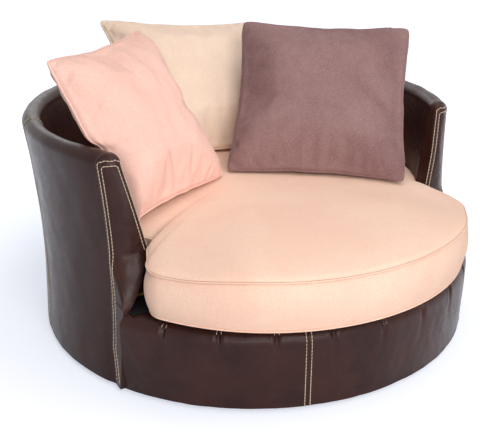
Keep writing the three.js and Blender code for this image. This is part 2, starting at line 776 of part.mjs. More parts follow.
// Covers and padding of the barrel wall.
function buildWall() {
  const span = roundTheBack(arm_front);
  const seam_angle = Math.PI * rim_seam_share;
  const side = levelsBetween(hem_height, rim_roll_center).slice(0, -1);
  const outer = [
    ...side.map((z) => [outerRadius(z), z]),
    ...rollArc(rim_roll_radius, 0, seam_angle, roll_steps),
    ...rollArc(rim_roll_radius - cover_thickness, seam_angle, 0, roll_steps),
    ...side.reverse().map((z) => [outerRadius(z) - cover_thickness, z]),
  ];
  addPiece(body_group, 'outer_cover', sweep(outer, { steps: wall_steps, ...span }), leather());
  const seam_gap = fit_gap / rim_roll_radius;
  const roll_out = rollArc(rim_roll_radius, Math.PI, seam_angle + seam_gap, 2);
  const roll_in = rollArc(rim_roll_radius - cover_thickness, seam_angle + seam_gap, Math.PI, 2);
  const foot = seat_ring_top + fit_gap;
  const inside = levelsBetween(foot, rim_roll_center).slice(0, -1);
  const inner = [
    ...inside.map((z) => [innerRadius(z), z]),
    ...roll_out,
    ...roll_in,
    ...inside.reverse().map((z) => [innerRadius(z) + cover_thickness, z]),
  ];
  addPiece(body_group, 'inner_cover', sweep(inner, { steps: wall_steps, ...span }), leather());
  const pad_span = roundTheBack(arm_front - board - fit_gap);
  const pad_front = (z) => innerRadius(z) + cover_thickness + fit_gap + 2 * wall_sag;
  const pad_top = rim_rail_bottom - fit_gap;
  const pad_levels = levelsBetween(foot, pad_top);
  const pad = [
    ...pad_levels.map((z) => [foamBack(z), z]),
    ...pad_levels.reverse().map((z) => [pad_front(z), z]),
  ];
  addPiece(body_group, 'back_padding', sweep(pad, { steps: wall_steps, ...pad_span }), foam());
}

// Arm front panels: the wall's outline, padded forward. Below the seat each one is a narrow
// strip that reaches the end of the front border.
function panelFace(z) {
  const above = THREE.MathUtils.smoothstep(z, deck_bottom, deck_bottom + panel_step_height);
  const rise = THREE.MathUtils.clamp((z - deck_bottom) / (rim_height - deck_bottom), 0, 1);
  const padding = panel_depth + panel_crown * Math.sin(Math.PI * rise);
  return lerp(border_end_y - arm_front + armRakeAt(z) - fit_gap, padding, above);
}

// Radius of the strip's inner side: beside the bottom ring low down, beside the front rail above.
function stripInner(z) {
  const reach = ring_outer_radius + strip_gap;
  const beside_ring = Math.sqrt(reach ** 2 - (arm_front - armRakeAt(ring_top)) ** 2);
  const beside_rail = Math.sqrt(reach ** 2 - arm_front ** 2);
  const [, low, high] = wall_levels;
  const share = THREE.MathUtils.clamp((z - low) / (high - low), 0, 1);
  return Math.hypot(lerp(beside_ring, beside_rail, share), armDepth(z));
}

function panelOutline(share) {
  const inset = panel_edge_radius * share;
  const foot = hem_height + inset / 3;
  const shelf = deck_bottom + fit_gap;
  const strip = levelsBetween(foot, shelf);
  const steps = panel_step_shares.map((part) => shelf + part * panel_step_height);
  const step_top = shelf + panel_step_height;
  const rise = [...steps, ...levelsBetween(step_top, rim_roll_center).slice(0, -1)];
  const inner = (z) => innerRadius(z) + inset * THREE.MathUtils.smoothstep(z, shelf, step_top);
  return [
    ...[...strip, ...rise].map((z) => [outerRadius(z) - inset, z]),
    ...rollArc(rim_roll_radius - inset, 0, Math.PI, roll_steps),
    ...rise.reverse().map((z) => [inner(z), z]),
    [inner(shelf), shelf],
    ...strip.reverse().map((z) => [stripInner(z), z]),
  ];
}

function armPanel() {
  const layer_shares = [[0, 0], [0, 0.5], [0.3, 0.85], [1, 1]];
  const n = panelOutline(0).length;
  const points = [];
  const faces = [];
  layer_shares.forEach(([share, cut], i) => {
    for (const [radius, z] of panelOutline(share)) {
      const x = Math.sqrt(radius ** 2 - armDepth(z) ** 2);
      points.push([x, armRakeAt(z) - arm_front - fit_gap - cut * (panelFace(z) - fit_gap), z]);
    }
    if (i > 0) {
      faces.push(...bandFaces(n, (i - 1) * n, i * n));
    }
  });
  faces.push(...capFaces(panelOutline(0), faces, (layer_shares.length - 1) * n));
  return fromTriangles(points, faces);
}

function buildPanels() {
  const right = armPanel();
  addPiece(body_group, 'arm_panel_right', right, leather_edge());
  addPiece(body_group, 'arm_panel_left', mirrored(right), leather_edge());
}

// Outline of the seat seen from above: a round front, a rounded corner and a wing in front
// of each arm, and a round back between the walls, which starts behind the arm panels.
function seatOutline({ front, center = 0, corner, edge, turn, wing }, z) {
  const points = [];
  for (let i = 0; i <= cushion_front_steps; i += 1) {
    const angle = lerp(-edge, edge, i / cushion_front_steps);
    points.push([front * Math.sin(angle), center - front * Math.cos(angle)]);
  }
  const side = [];
  for (let i = 1; i <= cushion_corner_steps; i += 1) {
    const angle = edge + turn * i / cushion_corner_steps;
    const x = (front - corner) * Math.sin(edge) + corner * Math.sin(angle);
    const y = center - (front - corner) * Math.cos(edge) - corner * Math.cos(angle);
    side.push([x, y]);
  }
  side.push(wing);
  const radius = innerRadius(z) - cushion_wall_gap;
  const from = angleAtArm(panelFace(z) + arm_front + cushion_wall_gap)(radius, z);
  points.push(...side);
  for (let i = 0; i <= cushion_back_steps; i += 1) {
    const angle = lerp(from, 2 * Math.PI - from, i / cushion_back_steps);
    points.push([radius * Math.sin(angle), rakeAt(z) - radius * Math.cos(angle)]);
  }
  points.push(...side.reverse().map(([x, y]) => [-x, y]));
  return points;
}

// Stacks scaled outlines into one closed solid, with a point at the middle of each end.
function stackOutlines(layers, bottom_center, top_center) {
  const n = layers[0].outline.length;
  const points = [];
  const faces = [];
  layers.forEach(({ outline, scale, z }, i) => {
    points.push(...outline.map(([x, y]) => [x * scale, y * scale, z]));
    if (i > 0) {
      faces.push(...bandFaces(n, (i - 1) * n, i * n));
    }
  });
  const low = points.push([0, 0, bottom_center]) - 1;
  const high = points.push([0, 0, top_center]) - 1;
  const last = (layers.length - 1) * n;
  for (let j = 0; j < n; j += 1) {
    const k = (j + 1) % n;
    faces.push([low, k, j], [high, last + j, last + k]);
  }
  return fromTriangles(points, faces);
}

function buildDeck() {
  const outline = seatOutline({
    front: deck_front_radius,
    corner: deck_corner_radius,
    edge: deck_corner_angle,
    turn: deck_corner_turn,
    wing: [deck_wing_x, -deck_wing_y],
  }, deck_bottom);
  const layers = [
    { outline, scale: 1, z: deck_bottom },
    { outline, scale: 1, z: deck_top },
  ];
  addPiece(body_group, 'deck_pad', stackOutlines(layers, deck_bottom, deck_top), dark_cloth());
}

// The cushion's side swells between a rounded lower edge and the welt, and its top is crowned.
function cushionSolid(grow = 0) {
  const level = (z, inset_share) => seatOutline({
    front: cushion_front_radius - inset_share * cushion_edge_round,
    center: cushion_front_center,
    corner: cushion_corner_radius - inset_share * cushion_edge_round,
    edge: cushion_corner_angle,
    turn: cushion_corner_turn,
    wing: [wing_back_x, -wing_back_y],
  }, z);
  const bottom = cushion_bottom;
  const welt = cushion_welt + grow;
  const middle = (bottom + welt) / 2;
  const [foot_share, low_share, welt_share] = cushion_inset_shares;
  const top_outline = level(middle, welt_share);
  const low_outline = level(bottom, foot_share);
  const layers = [
    { outline: low_outline, scale: cushion_base_share, z: bottom },
    { outline: low_outline, scale: 1, z: bottom },
    { outline: level(bottom, low_share), scale: 1, z: bottom + cushion_edge_round },
    { outline: level(middle, 0), scale: 1, z: middle },
    { outline: top_outline, scale: 1, z: welt },
    ...crown_shares.map(([scale, rise]) => ({ outline: top_outline, scale, z: welt + cushion_crown * rise })),
  ];
  return stackOutlines(layers, bottom, welt + cushion_crown);
}

// Serpentine seat springs hooked over the seat ring, bowed up under the deck.
const spring_rest = seat_ring_top + fit_gap + spring_wire_radius;

const loop_shares = [[0.8, -0.34], [1, 0], [0.8, 0.34]];

function springEnd(x) {
  return Math.sqrt(seat_ring_inner_radius ** 2 - (Math.abs(x) + spring_half_width) ** 2) + spring_overlap;
}

function springHeight(y, end) {
  const bow = deck_bottom - fit_gap - spring_wire_radius - spring_rest;
  return spring_rest + bow * (1 - (y / end) ** 2);
}

function springPath(x) {
  const end = springEnd(x);
  const points = [];
  const pitch = 2 * end / spring_half_loops;
  for (let i = 0; i < spring_half_loops; i += 1) {
    const side = i % 2 === 0 ? 1 : -1;
    const middle = -end + (i + 0.5) * pitch;
    for (const [across, along] of loop_shares) {
      const y = middle + along * pitch;
      points.push(new THREE.Vector3(x + side * across * spring_half_width, y, springHeight(y, end)));
    }
  }
  return new THREE.CatmullRomCurve3(points, false, 'centripetal');
}

function buildSprings() {
  const shape = new THREE.Shape();
  for (let i = 0; i < wire_sides; i += 1) {
    const angle = i * 2 * Math.PI / wire_sides;
    const corner = [spring_wire_radius * Math.cos(angle), spring_wire_radius * Math.sin(angle)];
    if (i === 0) {
      shape.moveTo(...corner);
    } else {
      shape.lineTo(...corner);
    }
  }
  shape.closePath();
  for (let i = 0; i < spring_count; i += 1) {
    const x = (i - (spring_count - 1) / 2) * spring_pitch;
    const steps = spring_half_loops * 3;
    const path = springPath(x);
    const wire = new THREE.ExtrudeGeometry(shape, { steps, extrudePath: path, bevelEnabled: false });
    addPiece(body_group, `seat_spring_${i + 1}`, weld(wire), steel());
    buildClips(i, x);
  }
}

// A bent clip over each end loop of a spring, with its two feet on the seat ring.
function buildClips(index, x) {
  const inside = spring_wire_radius + clip_side_gap;
  const low = seat_ring_top + fit_gap;
  const end = springEnd(x);
  const middle = end * (1 - 1 / spring_half_loops);
  const roof = springHeight(middle - clip_length / 2, end) + spring_wire_radius + fit_gap;
  const shape = new THREE.Shape();
  shape.moveTo(-inside - clip_foot, low);
  shape.lineTo(-inside, low);
  shape.lineTo(-inside, roof);
  shape.lineTo(inside, roof);
  shape.lineTo(inside, low);
  shape.lineTo(inside + clip_foot, low);
  shape.lineTo(inside + clip_foot, low + clip_sheet);
  shape.lineTo(inside + clip_sheet, low + clip_sheet);
  shape.lineTo(inside + clip_sheet, roof + clip_sheet);
  shape.lineTo(-inside - clip_sheet, roof + clip_sheet);
  shape.lineTo(-inside - clip_sheet, low + clip_sheet);
  shape.lineTo(-inside - clip_foot, low + clip_sheet);
  shape.closePath();
  for (const [name, y, side] of [['front', -middle, 1], ['rear', middle, -1]]) {
    const clip = new THREE.ExtrudeGeometry(shape, { depth: clip_length, bevelEnabled: false });
    clip.translate(0, 0, -clip_length / 2).rotateX(Math.PI / 2);
    clip.translate(x + side * spring_half_width, y, 0);
    addPiece(body_group, `spring_clip_${name}_${index + 1}`, weld(clip), steel());
  }
}

// Pillows: two crowned faces between four corners, with edges drawn in between them.
function pillowFrame({ side, x, y, turn, lean, roll, skew_share = 0 }) {
  const across = new THREE.Vector3(Math.cos(turn), Math.sin(turn), 0);
  const rise = new THREE.Vector3(0, Math.sin(lean), Math.cos(lean));
  rise.applyAxisAngle(new THREE.Vector3(0, 0, 1), turn);
  const normal = across.clone().cross(rise);
  across.applyAxisAngle(normal, roll);
  rise.applyAxisAngle(normal, roll).addScaledVector(across, skew_share);
  const foot = new THREE.Vector3(x, y, cushion_welt + cushion_crown - pillow_sink);
  const bottom_left = foot.clone().addScaledVector(across, -side / 2);
  const bottom_right = foot.clone().addScaledVector(across, side / 2);
  const top_left = bottom_left.clone().addScaledVector(rise, side);
  const top_right = bottom_right.clone().addScaledVector(rise, side);
  return { normal, bottom_left, bottom_right, top_left, top_right };
}

function pillowSolid(place_values, grow = 0) {
  const { normal, bottom_left, bottom_right, top_left, top_right } = pillowFrame(place_values);
  const n = pillow_steps;
  const points = [];
  const place = (u, v, face) => {
    const a = 2 * u - 1;
    const b = 2 * v - 1;
    const pull_u = 0.5 + a / 2 * (1 - pillow_draw_share * (1 - b * b) * Math.abs(a));
    const pull_v = 0.5 + b / 2 * (1 - pillow_draw_share * (1 - a * a) * Math.abs(b));
    const top = top_left.clone().lerp(top_right, pull_u);
    const bottom = bottom_left.clone().lerp(bottom_right, pull_u);
    const full = ((1 - a ** 4) * (1 - b ** 4)) ** 0.5;
    const half = grow + lerp(pillow_edge_thickness, pillow_thickness, full) / 2;
    return bottom.lerp(top, pull_v).addScaledVector(normal, face * half).toArray();
  };
  for (const face of [1, -1]) {
    for (let i = 0; i <= n; i += 1) {
      for (let j = 0; j <= n; j += 1) {
        points.push(place(i / n, j / n, face));
      }
    }
  }
  const row = n + 1;
  const sheet = row * row;
  const faces = [];
  for (let i = 0; i < n; i += 1) {
    for (let j = 0; j < n; j += 1) {
      const a = i * row + j;
      faces.push([a, a + row, a + row + 1], [a, a + row + 1, a + 1]);
      faces.push([sheet + a, sheet + a + row + 1, sheet + a + row]);
      faces.push([sheet + a, sheet + a + 1, sheet + a + row + 1]);
    }
  }
  const rim = [];
  for (let i = 0; i < n; i += 1) rim.push(i * row);
  for (let j = 0; j < n; j += 1) rim.push(n * row + j);
  for (let i = n; i > 0; i -= 1) rim.push(i * row + n);
  for (let j = n; j > 0; j -= 1) rim.push(j);
  for (let i = 0; i < rim.length; i += 1) {
    const a = rim[i];
    const b = rim[(i + 1) % rim.length];
    faces.push([b, a, a + sheet], [b, a + sheet, b + sheet]);
  }
  return fromTriangles(points, faces);
}

// The room that the pillows leave free for the arms and the back: all that lies outside
// the wall's inner face, up to the rim.
function wallEnvelope() {
  const grow = pillow_clearance + wall_sag;
  const reach = 2 * drum_radius;
  const side = levelsBetween(hem_height, rim_roll_center).slice(0, -1);
  const outline = [
    ...side.map((z) => [reach, z]),
    [reach, rim_roll_center],
    ...rollArc(rim_roll_radius + grow, 0, Math.PI, roll_steps * 2),
    ...side.reverse().map((z) => [innerRadius(z) - grow, z]),
  ];
  const span = roundTheBack(innerRadius(hem_height) - board);
  return toSolid(sweep(outline, { steps: wall_steps * 2, ...span }));
}

const right_pillow = {
  side: drum_radius - right_pillow_margin,
  x: drum_radius - right_pillow_side_inset,
  y: right_pillow_front_inset - drum_radius,
  turn: right_pillow_turn,
  lean: right_pillow_lean,
  roll: right_pillow_roll,
};
const left_pillow = {
  side: drum_radius - left_pillow_margin,
  x: left_pillow_side_inset - drum_radius,
  y: left_pillow_front_inset - drum_radius,
  turn: left_pillow_turn,
  lean: left_pillow_lean,
  roll: left_pillow_roll,
  skew_share: left_pillow_skew_share,
};
const back_pillow = {
  side: drum_radius - back_pillow_margin,
  x: back_pillow_offset,
  y: drum_radius - back_pillow_rear_inset,
  turn: back_pillow_turn,
  lean: back_pillow_lean,
  roll: back_pillow_roll,
};

function buildLoose() {
  const cushion = cushionSolid();
  addPiece(loose_group, 'seat_cushion', cushion, peach());
  const wall = wallEnvelope();
  const seat = toSolid(cushionSolid(pillow_clearance));
  const right = toSolid(pillowSolid(right_pillow)).subtract(wall).subtract(seat);
  const left = toSolid(pillowSolid(left_pillow)).subtract(wall).subtract(seat);
  const right_room = toSolid(pillowSolid(right_pillow, pillow_clearance));
  const left_room = toSolid(pillowSolid(left_pillow, pillow_clearance));
  let back = toSolid(pillowSolid(back_pillow)).subtract(wall).subtract(seat);
  back = back.subtract(right_room).subtract(left_room);
  addPiece(loose_group, 'pillow_right', toGeometry(right), mauve());
  addPiece(loose_group, 'pillow_left', toGeometry(left.subtract(right_room)), pink());
  addPiece(loose_group, 'pillow_back', toGeometry(back), cream());
}

// Black cloth under the frame, open in the middle for the floor base.
function buildDustCover() {
  const top = bottom_ring_z - fit_gap;
  const inner = floor_ring_radius + floor_tube_radius + cross_bar_width;
  const outer = ring_outer_radius - fit_gap;
  addPiece(body_group, 'dust_cover', ringBoard(inner, outer, top - dust_cloth_thickness, top), dark_cloth());
}

buildGlides();
buildFloorRing();
buildFloorCross();
buildBearing();
buildRings();
buildCrossRails();
buildRibs();
buildArmBoards();
buildRimRail();
buildFront();
buildBorder();
buildWall();
buildPanels();
buildDeck();
buildSprings();
buildDustCover();
buildLoose();

export default chair;
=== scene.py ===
"""A round swivel cuddle chair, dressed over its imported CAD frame.

Lengths are in millimetres until a mesh is made, and the names follow the CAD source. Only the
camera, the lamps, the floor and the materials are written in metres.
"""
import math

import bpy
import bmesh
import numpy as np
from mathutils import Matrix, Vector
from mathutils.bvhtree import BVHTree


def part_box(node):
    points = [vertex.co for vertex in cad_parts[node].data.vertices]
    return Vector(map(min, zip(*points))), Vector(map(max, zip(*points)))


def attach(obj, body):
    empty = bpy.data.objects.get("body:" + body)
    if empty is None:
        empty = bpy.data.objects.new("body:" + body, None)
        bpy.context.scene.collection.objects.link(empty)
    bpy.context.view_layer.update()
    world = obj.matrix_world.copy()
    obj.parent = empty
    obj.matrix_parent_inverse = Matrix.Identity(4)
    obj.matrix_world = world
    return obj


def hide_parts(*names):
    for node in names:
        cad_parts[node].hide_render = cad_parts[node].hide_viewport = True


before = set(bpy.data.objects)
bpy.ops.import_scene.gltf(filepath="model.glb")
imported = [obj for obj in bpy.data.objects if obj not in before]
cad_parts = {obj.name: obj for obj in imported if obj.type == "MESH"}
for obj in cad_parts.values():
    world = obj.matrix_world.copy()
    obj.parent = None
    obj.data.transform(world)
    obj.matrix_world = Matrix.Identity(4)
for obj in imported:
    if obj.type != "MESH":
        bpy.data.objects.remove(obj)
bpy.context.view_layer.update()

MM = 0.001
TAU = 2.0 * math.pi

# The barrel, as the CAD source has it.
DRUM_RADIUS = 600.0
HEM_HEIGHT = 15.0
RIM_HEIGHT = 590.0
RIM_TAPER = 3.0
ROLL_RADIUS = 25.0
RIM_SETBACK = 98.0
RAKE_POWER = 0.75
WAIST_HEIGHT = 290.0
WAIST_TAPER = 20.0
ARM_RAKE = 78.0
ARM_RAKE_POWER = 0.45
ARM_FRONT = 264.0
WALL_FOOT_RADIUS = 472.0
SWIVEL_LEAD = 15.0
COVER = 4.0
GAP = 0.3
RIM_OUTER = DRUM_RADIUS - RIM_TAPER
ROLL_Z = RIM_HEIGHT - ROLL_RADIUS
CROWN_RADIUS = RIM_OUTER - ROLL_RADIUS
RIM_INNER = CROWN_RADIUS - ROLL_RADIUS
WALL_SHARES = np.array([0.0, 0.17, 0.36, 0.6, 0.82, 1.0])
WALL_LEVELS = HEM_HEIGHT + (ROLL_Z - HEM_HEIGHT) * WALL_SHARES

# The seat.
BORDER_TOP = 220.0
DECK_BOTTOM = BORDER_TOP + GAP
DECK_TOP = DECK_BOTTOM + 16.0
CUSHION_BOTTOM = DECK_TOP + GAP
CUSHION_THICKNESS = 128.0
CUSHION_WELT = CUSHION_BOTTOM + CUSHION_THICKNESS
CUSHION_CROWN = 50.0
CUSHION_FRONT = 560.0
CUSHION_CENTER = CUSHION_FRONT - DRUM_RADIUS - 57.0
CUSHION_CORNER_ANGLE = math.radians(56.0)
CUSHION_CORNER_TURN = math.radians(72.0)
CUSHION_CORNER_RADIUS = 80.0
CUSHION_ROUND = 9.0
CUSHION_WALL_GAP = 2.0
RING_OUTER = DRUM_RADIUS - 30.0
RAIL_INNER = RING_OUTER - 18.0
SEAT_RING_TOP = 203.0
DECK_FRONT = RING_OUTER - 4.0
DECK_CORNER_RADIUS = 34.0
DECK_CORNER_ANGLE = math.radians(49.0)
DECK_CORNER_TURN = math.radians(98.0)

# The front border.
BORDER_OUTER = DRUM_RADIUS + 9.0
BORDER_FOOT = DRUM_RADIUS + 4.0
BORDER_END = ARM_FRONT + 33.0
WING_BACK = (DRUM_RADIUS - 164.0, -(BORDER_END - 26.0))
DECK_WING = (DRUM_RADIUS - 177.0, -(BORDER_END + 23.0))
BORDER_ROLL = 34.0
BORDER_SKIN = 3.0
TUCK_PITCH = math.radians(12.9)
TUCK_CENTER = math.radians(2.0)
TUCK_COUNT = 9
TUCK_DEPTH = 5.0
SKIRT_SEAM = math.radians(-16.7)

# How the loose cushion's front corners and front lie, and its welt.
CORNER_DROOP = 17.0
CORNER_TUCK = 10.0
FRONT_SHIFT = 15.0
WELT_RADIUS = 2.1

# The solids' arm front panels, which the cushion's outline keeps clear of.
PANEL_DEPTH = 22.0
PANEL_CROWN = 6.0
PANEL_STEP = 36.0


def lerp(a, b, t):
    return a + (b - a) * t


def smoothstep(x, low, high):
    t = np.clip((x - low) / (high - low), 0.0, 1.0)
    return t * t * (3.0 - 2.0 * t)


def bump(x, width):
    return np.exp(-(x / width) ** 2)


def along_wall(values, z):
    """A smooth curve through the CAD's values at the wall's levels, straight past its ends."""
    steps = np.diff(WALL_LEVELS)
    slopes = np.diff(values) / steps
    tangents = np.concatenate([slopes[:1], (slopes[1:] + slopes[:-1]) / 2.0, slopes[-1:]])
    i = np.clip(np.searchsorted(WALL_LEVELS, z, side="right") - 1, 0, len(steps) - 1)
    away = np.asarray(z) - WALL_LEVELS[i]
    t = np.clip(away / steps[i], 0.0, 1.0)
    curve = (
        (1.0 + 2.0 * t) * (1.0 - t) ** 2 * values[i]
        + t * (1.0 - t) ** 2 * steps[i] * tangents[i]
        + t * t * (3.0 - 2.0 * t) * values[i + 1]
        + t * t * (t - 1.0) * steps[i] * tangents[i + 1]
    )
    past = np.maximum(np.asarray(z) - WALL_LEVELS[-1], 0.0)
    return curve + past * slopes[-1]


RAKE_LEVELS = RIM_SETBACK * ((WALL_LEVELS - HEM_HEIGHT) / (RIM_HEIGHT - HEM_HEIGHT)) ** RAKE_POWER
ARM_LEVELS = ARM_RAKE * WALL_SHARES ** ARM_RAKE_POWER
RADIUS_LEVELS = DRUM_RADIUS - WAIST_TAPER + np.where(
    WALL_LEVELS < WAIST_HEIGHT,
    WAIST_TAPER * ((WALL_LEVELS - WAIST_HEIGHT) / (HEM_HEIGHT - WAIST_HEIGHT)) ** 2,
    (WAIST_TAPER - RIM_TAPER) * ((WALL_LEVELS - WAIST_HEIGHT) / (ROLL_Z - WAIST_HEIGHT)) ** 2,
)


def rake(z):
    return along_wall(RAKE_LEVELS, z)


def arm_rake(z):
    """How far back the arms' front ends lean; straight between levels, as the boards are."""
    slope = (ARM_LEVELS[-1] - ARM_LEVELS[-2]) / (WALL_LEVELS[-1] - WALL_LEVELS[-2])
    return np.interp(z, WALL_LEVELS, ARM_LEVELS) + slope * np.maximum(np.asarray(z) - ROLL_Z, 0.0)


def arm_depth(z):
    return ARM_FRONT + rake(z) - arm_rake(z)


def outer_radius(z):
    return along_wall(RADIUS_LEVELS, z)


def inner_radius(z):
    return lerp(WALL_FOOT_RADIUS, RIM_INNER, (z - DECK_BOTTOM) / (ROLL_Z - DECK_BOTTOM))


def waves(points, scale, seed, octaves=2):
    """Smooth wandering noise of about -1 to 1, the same on every run."""
    rng = np.random.default_rng(seed)
    total = np.zeros(points.shape[:-1])
    power = 0.0
    for octave in range(octaves):
        weight = 0.5 ** octave
        for _ in range(6):
            direction = rng.normal(size=points.shape[-1])
            direction /= np.linalg.norm(direction)
            wavelength = scale / 2.0 ** octave * rng.uniform(0.7, 1.4)
            phase = rng.uniform(0.0, TAU)
            total += weight * np.sin(points @ direction * TAU / wavelength + phase)
            power += weight ** 2 / 2.0
    return total / math.sqrt(power) / 1.6


# ---- meshes


def add_object(name, data):
    thing = bpy.data.objects.new(name, data)
    bpy.context.scene.collection.objects.link(thing)
    return thing


def make_object(name, solid, body, slot=None, sharp=50.0):
    """A piece from points and faces, in its slot's material; thread has no slot."""
    points, faces = solid
    mesh = bpy.data.meshes.new(name)
    placed = np.asarray(points, float).reshape(-1, 3) - np.array([0.0, SWIVEL_LEAD, 0.0])
    mesh.from_pydata((placed * MM).tolist(), [], faces)
    work = bmesh.new()
    work.from_mesh(mesh)
    loose = [v for v in work.verts if not v.link_faces]
    bmesh.ops.delete(work, geom=loose, context="VERTS")
    bmesh.ops.recalc_face_normals(work, faces=work.faces)
    work.to_mesh(mesh)
    work.free()
    mesh.shade_smooth()
    mesh.set_sharp_from_angle(angle=math.radians(sharp))
    piece = add_object(name, mesh)
    mesh.materials.append(SLOT_MATERIALS.get(slot, THREAD))
    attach(piece, body)
    return piece


def slab(front, back, mask=None, closed=False):
    """Points and faces of the closed body between two grids of points, or of a ring of it."""
    rows, cols = front.shape[:2]
    if mask is None:
        mask = np.ones((rows - 1, cols if closed else cols - 1), bool)
    filled = np.pad(mask, 1)
    filled[1:-1, [0, -1]] = closed
    count = rows * cols
    points = np.concatenate([front.reshape(-1, 3), back.reshape(-1, 3)])
    faces = []
    for i, j in zip(*np.nonzero(mask)):
        k = (j + 1) % cols
        a, b, c, d = i * cols + j, i * cols + k, (i + 1) * cols + k, (i + 1) * cols + j
        faces.append((a, b, c, d))
        faces.append((d + count, c + count, b + count, a + count))
        sides = ((b, a, i - 1, j), (d, c, i + 1, j), (a, d, i, j - 1), (c, b, i, j + 1))
        for start, end, row, col in sides:
            if not filled[row + 1, col + 1]:
                faces.append((start, end, end + count, start + count))
    return points, faces


def around(radius, height, angle, raked=True):
    shift = rake(height) if raked else 0.0
    return np.stack([radius * np.sin(angle), shift - radius * np.cos(angle), height + 0.0 * angle], -1)


def outward(normal_r, normal_z, angle):
    return np.stack([normal_r * np.sin(angle), -normal_r * np.cos(angle), normal_z], -1)


def raised(line, z):
    """A flat outline's points, at a height."""
    return np.column_stack([line, np.full(len(line), z)])


def distances(path):
    """How far along a path each of its points lies."""
    steps = np.linalg.norm(np.diff(path, axis=0), axis=1)
    return np.concatenate([[0.0], np.cumsum(steps)])


def read_at(places, far, values):
    return np.stack([np.interp(places, far, column) for column in values.T], -1)


def resample(path, spacing, closed=False):
    """Even points along a path."""
    path = np.asarray(path, float)
    if closed:
        path = np.vstack([path, path[:1]])
    far = distances(path)
    count = max(2, int(round(far[-1] / spacing)))
    even = read_at(np.linspace(0.0, far[-1], count + 1), far, path)
    return even[:-1] if closed else even


def band_faces(rows, count, closed=False):
    """Faces between rings of points, of which the last meets the first if closed."""
    faces = []
    for i in range(rows if closed else rows - 1):
        a, b = i * count, (i + 1) % rows * count
        for j in range(count):
            k = (j + 1) % count
            faces.append((a + j, a + k, b + k, b + j))
    return faces


def soften(rows, reach):
    """Each row as the mean of its neighbours."""
    return np.array([rows[max(0, i - reach):i + reach + 1].mean(0) for i in range(len(rows))])


def tube(path, radius, sides=8, closed=True, up=(0.0, 0.0, 1.0)):
    """Points and faces of a round cord along a path."""
    n = len(path)
    if closed:
        along = np.roll(path, -1, 0) - np.roll(path, 1, 0)
    else:
        along = np.gradient(path, axis=0)
    along /= np.linalg.norm(along, axis=1)[:, None]
    side = np.cross(along, np.array(up))
    weak = np.linalg.norm(side, axis=1) < 0.05
    side[weak] = np.cross(along[weak], np.array([1.0, 0.0, 0.0]))
    for i in range(1, n):
        if np.dot(side[i], side[i - 1]) < 0:
            side[i] *= -1
    side /= np.linalg.norm(side, axis=1)[:, None]
    lift = np.cross(side, along)
    angles = (np.arange(sides) * TAU / sides)[None, :, None]
    ring = radius * (np.cos(angles) * side[:, None] + np.sin(angles) * lift[:, None])
    points = (path[:, None] + ring).reshape(-1, 3)
    faces = band_faces(n, sides, closed)
    if not closed:
        faces.append(tuple(range(sides)))
        faces.append(tuple((n - 1) * sides + j for j in reversed(range(sides))))
    return points, faces


def join(parts):
    """Several bodies as one list of points and faces."""
    points, faces, start = [], [], 0
    for some, made in parts:
        points.append(np.asarray(some).reshape(-1, 3))
        faces.extend(tuple(start + k for k in face) for face in made)
        start += len(points[-1])
    return np.concatenate(points), faces


# A stitch's length, pitch and thread radius, and its thread's path as shares of these.
STITCH_LENGTH = 7.0
STITCH_PITCH = 9.2
STITCH_RADIUS = 1.15
STITCH_SHARES = np.array([-0.5, -0.42, -0.25, 0.0, 0.25, 0.42, 0.5])
STITCH_RISE = np.array([-0.9, 0.1, 0.5, 0.62, 0.5, 0.1, -0.9])


def stitches(path, normals, length=STITCH_LENGTH, pitch=STITCH_PITCH, radius=STITCH_RADIUS):
    """A row of short threads that dive into the leather at both ends."""
    far = distances(path)
    parts = []
    for k in range(int(far[-1] / pitch)):
        places = (k + 0.5) * pitch + STITCH_SHARES * length
        line = read_at(places, far, path)
        out = read_at(places, far, normals)
        out /= np.linalg.norm(out, axis=1)[:, None]
        line = line + out * (STITCH_RISE * radius)[:, None]
        parts.append(tube(line, radius, sides=6, closed=False, up=out[3]))
    return join(parts)


# ---- materials


def linear(color):
    """A written 8-bit colour as shaders want it; a node's output passes as it is."""
    if isinstance(color, bpy.types.NodeSocket):
        return color
    shares = (c / 255.0 for c in color)
    return tuple(c / 12.92 if c <= 10 / 255.0 else ((c + 0.055) / 1.055) ** 2.4 for c in shares) + (1.0,)


def feed(node, inputs):
    """Gives a node's inputs numbers, colours or other nodes' outputs."""
    for key, value in inputs.items():
        if isinstance(value, bpy.types.NodeSocket):
            node.id_data.links.new(value, node.inputs[key])
        else:
            node.inputs[key].default_value = value


def add_node(tree, kind, inputs={}, **settings):
    node = tree.nodes.new(kind)
    for key, value in settings.items():
        setattr(node, key, value)
    feed(node, inputs)
    return node


def new_material(name):
    """A new node material, and its main shader."""
    material = bpy.data.materials.new(name)
    material.use_nodes = True
    return material, material.node_tree.nodes["Principled BSDF"]


def map_range(tree, value, low, high, to_low=0.0, to_high=1.0):
    inputs = {"Value": value, "From Min": low, "From Max": high, "To Min": to_low, "To Max": to_high}
    return add_node(tree, "ShaderNodeMapRange", inputs, clamp=True).outputs["Result"]


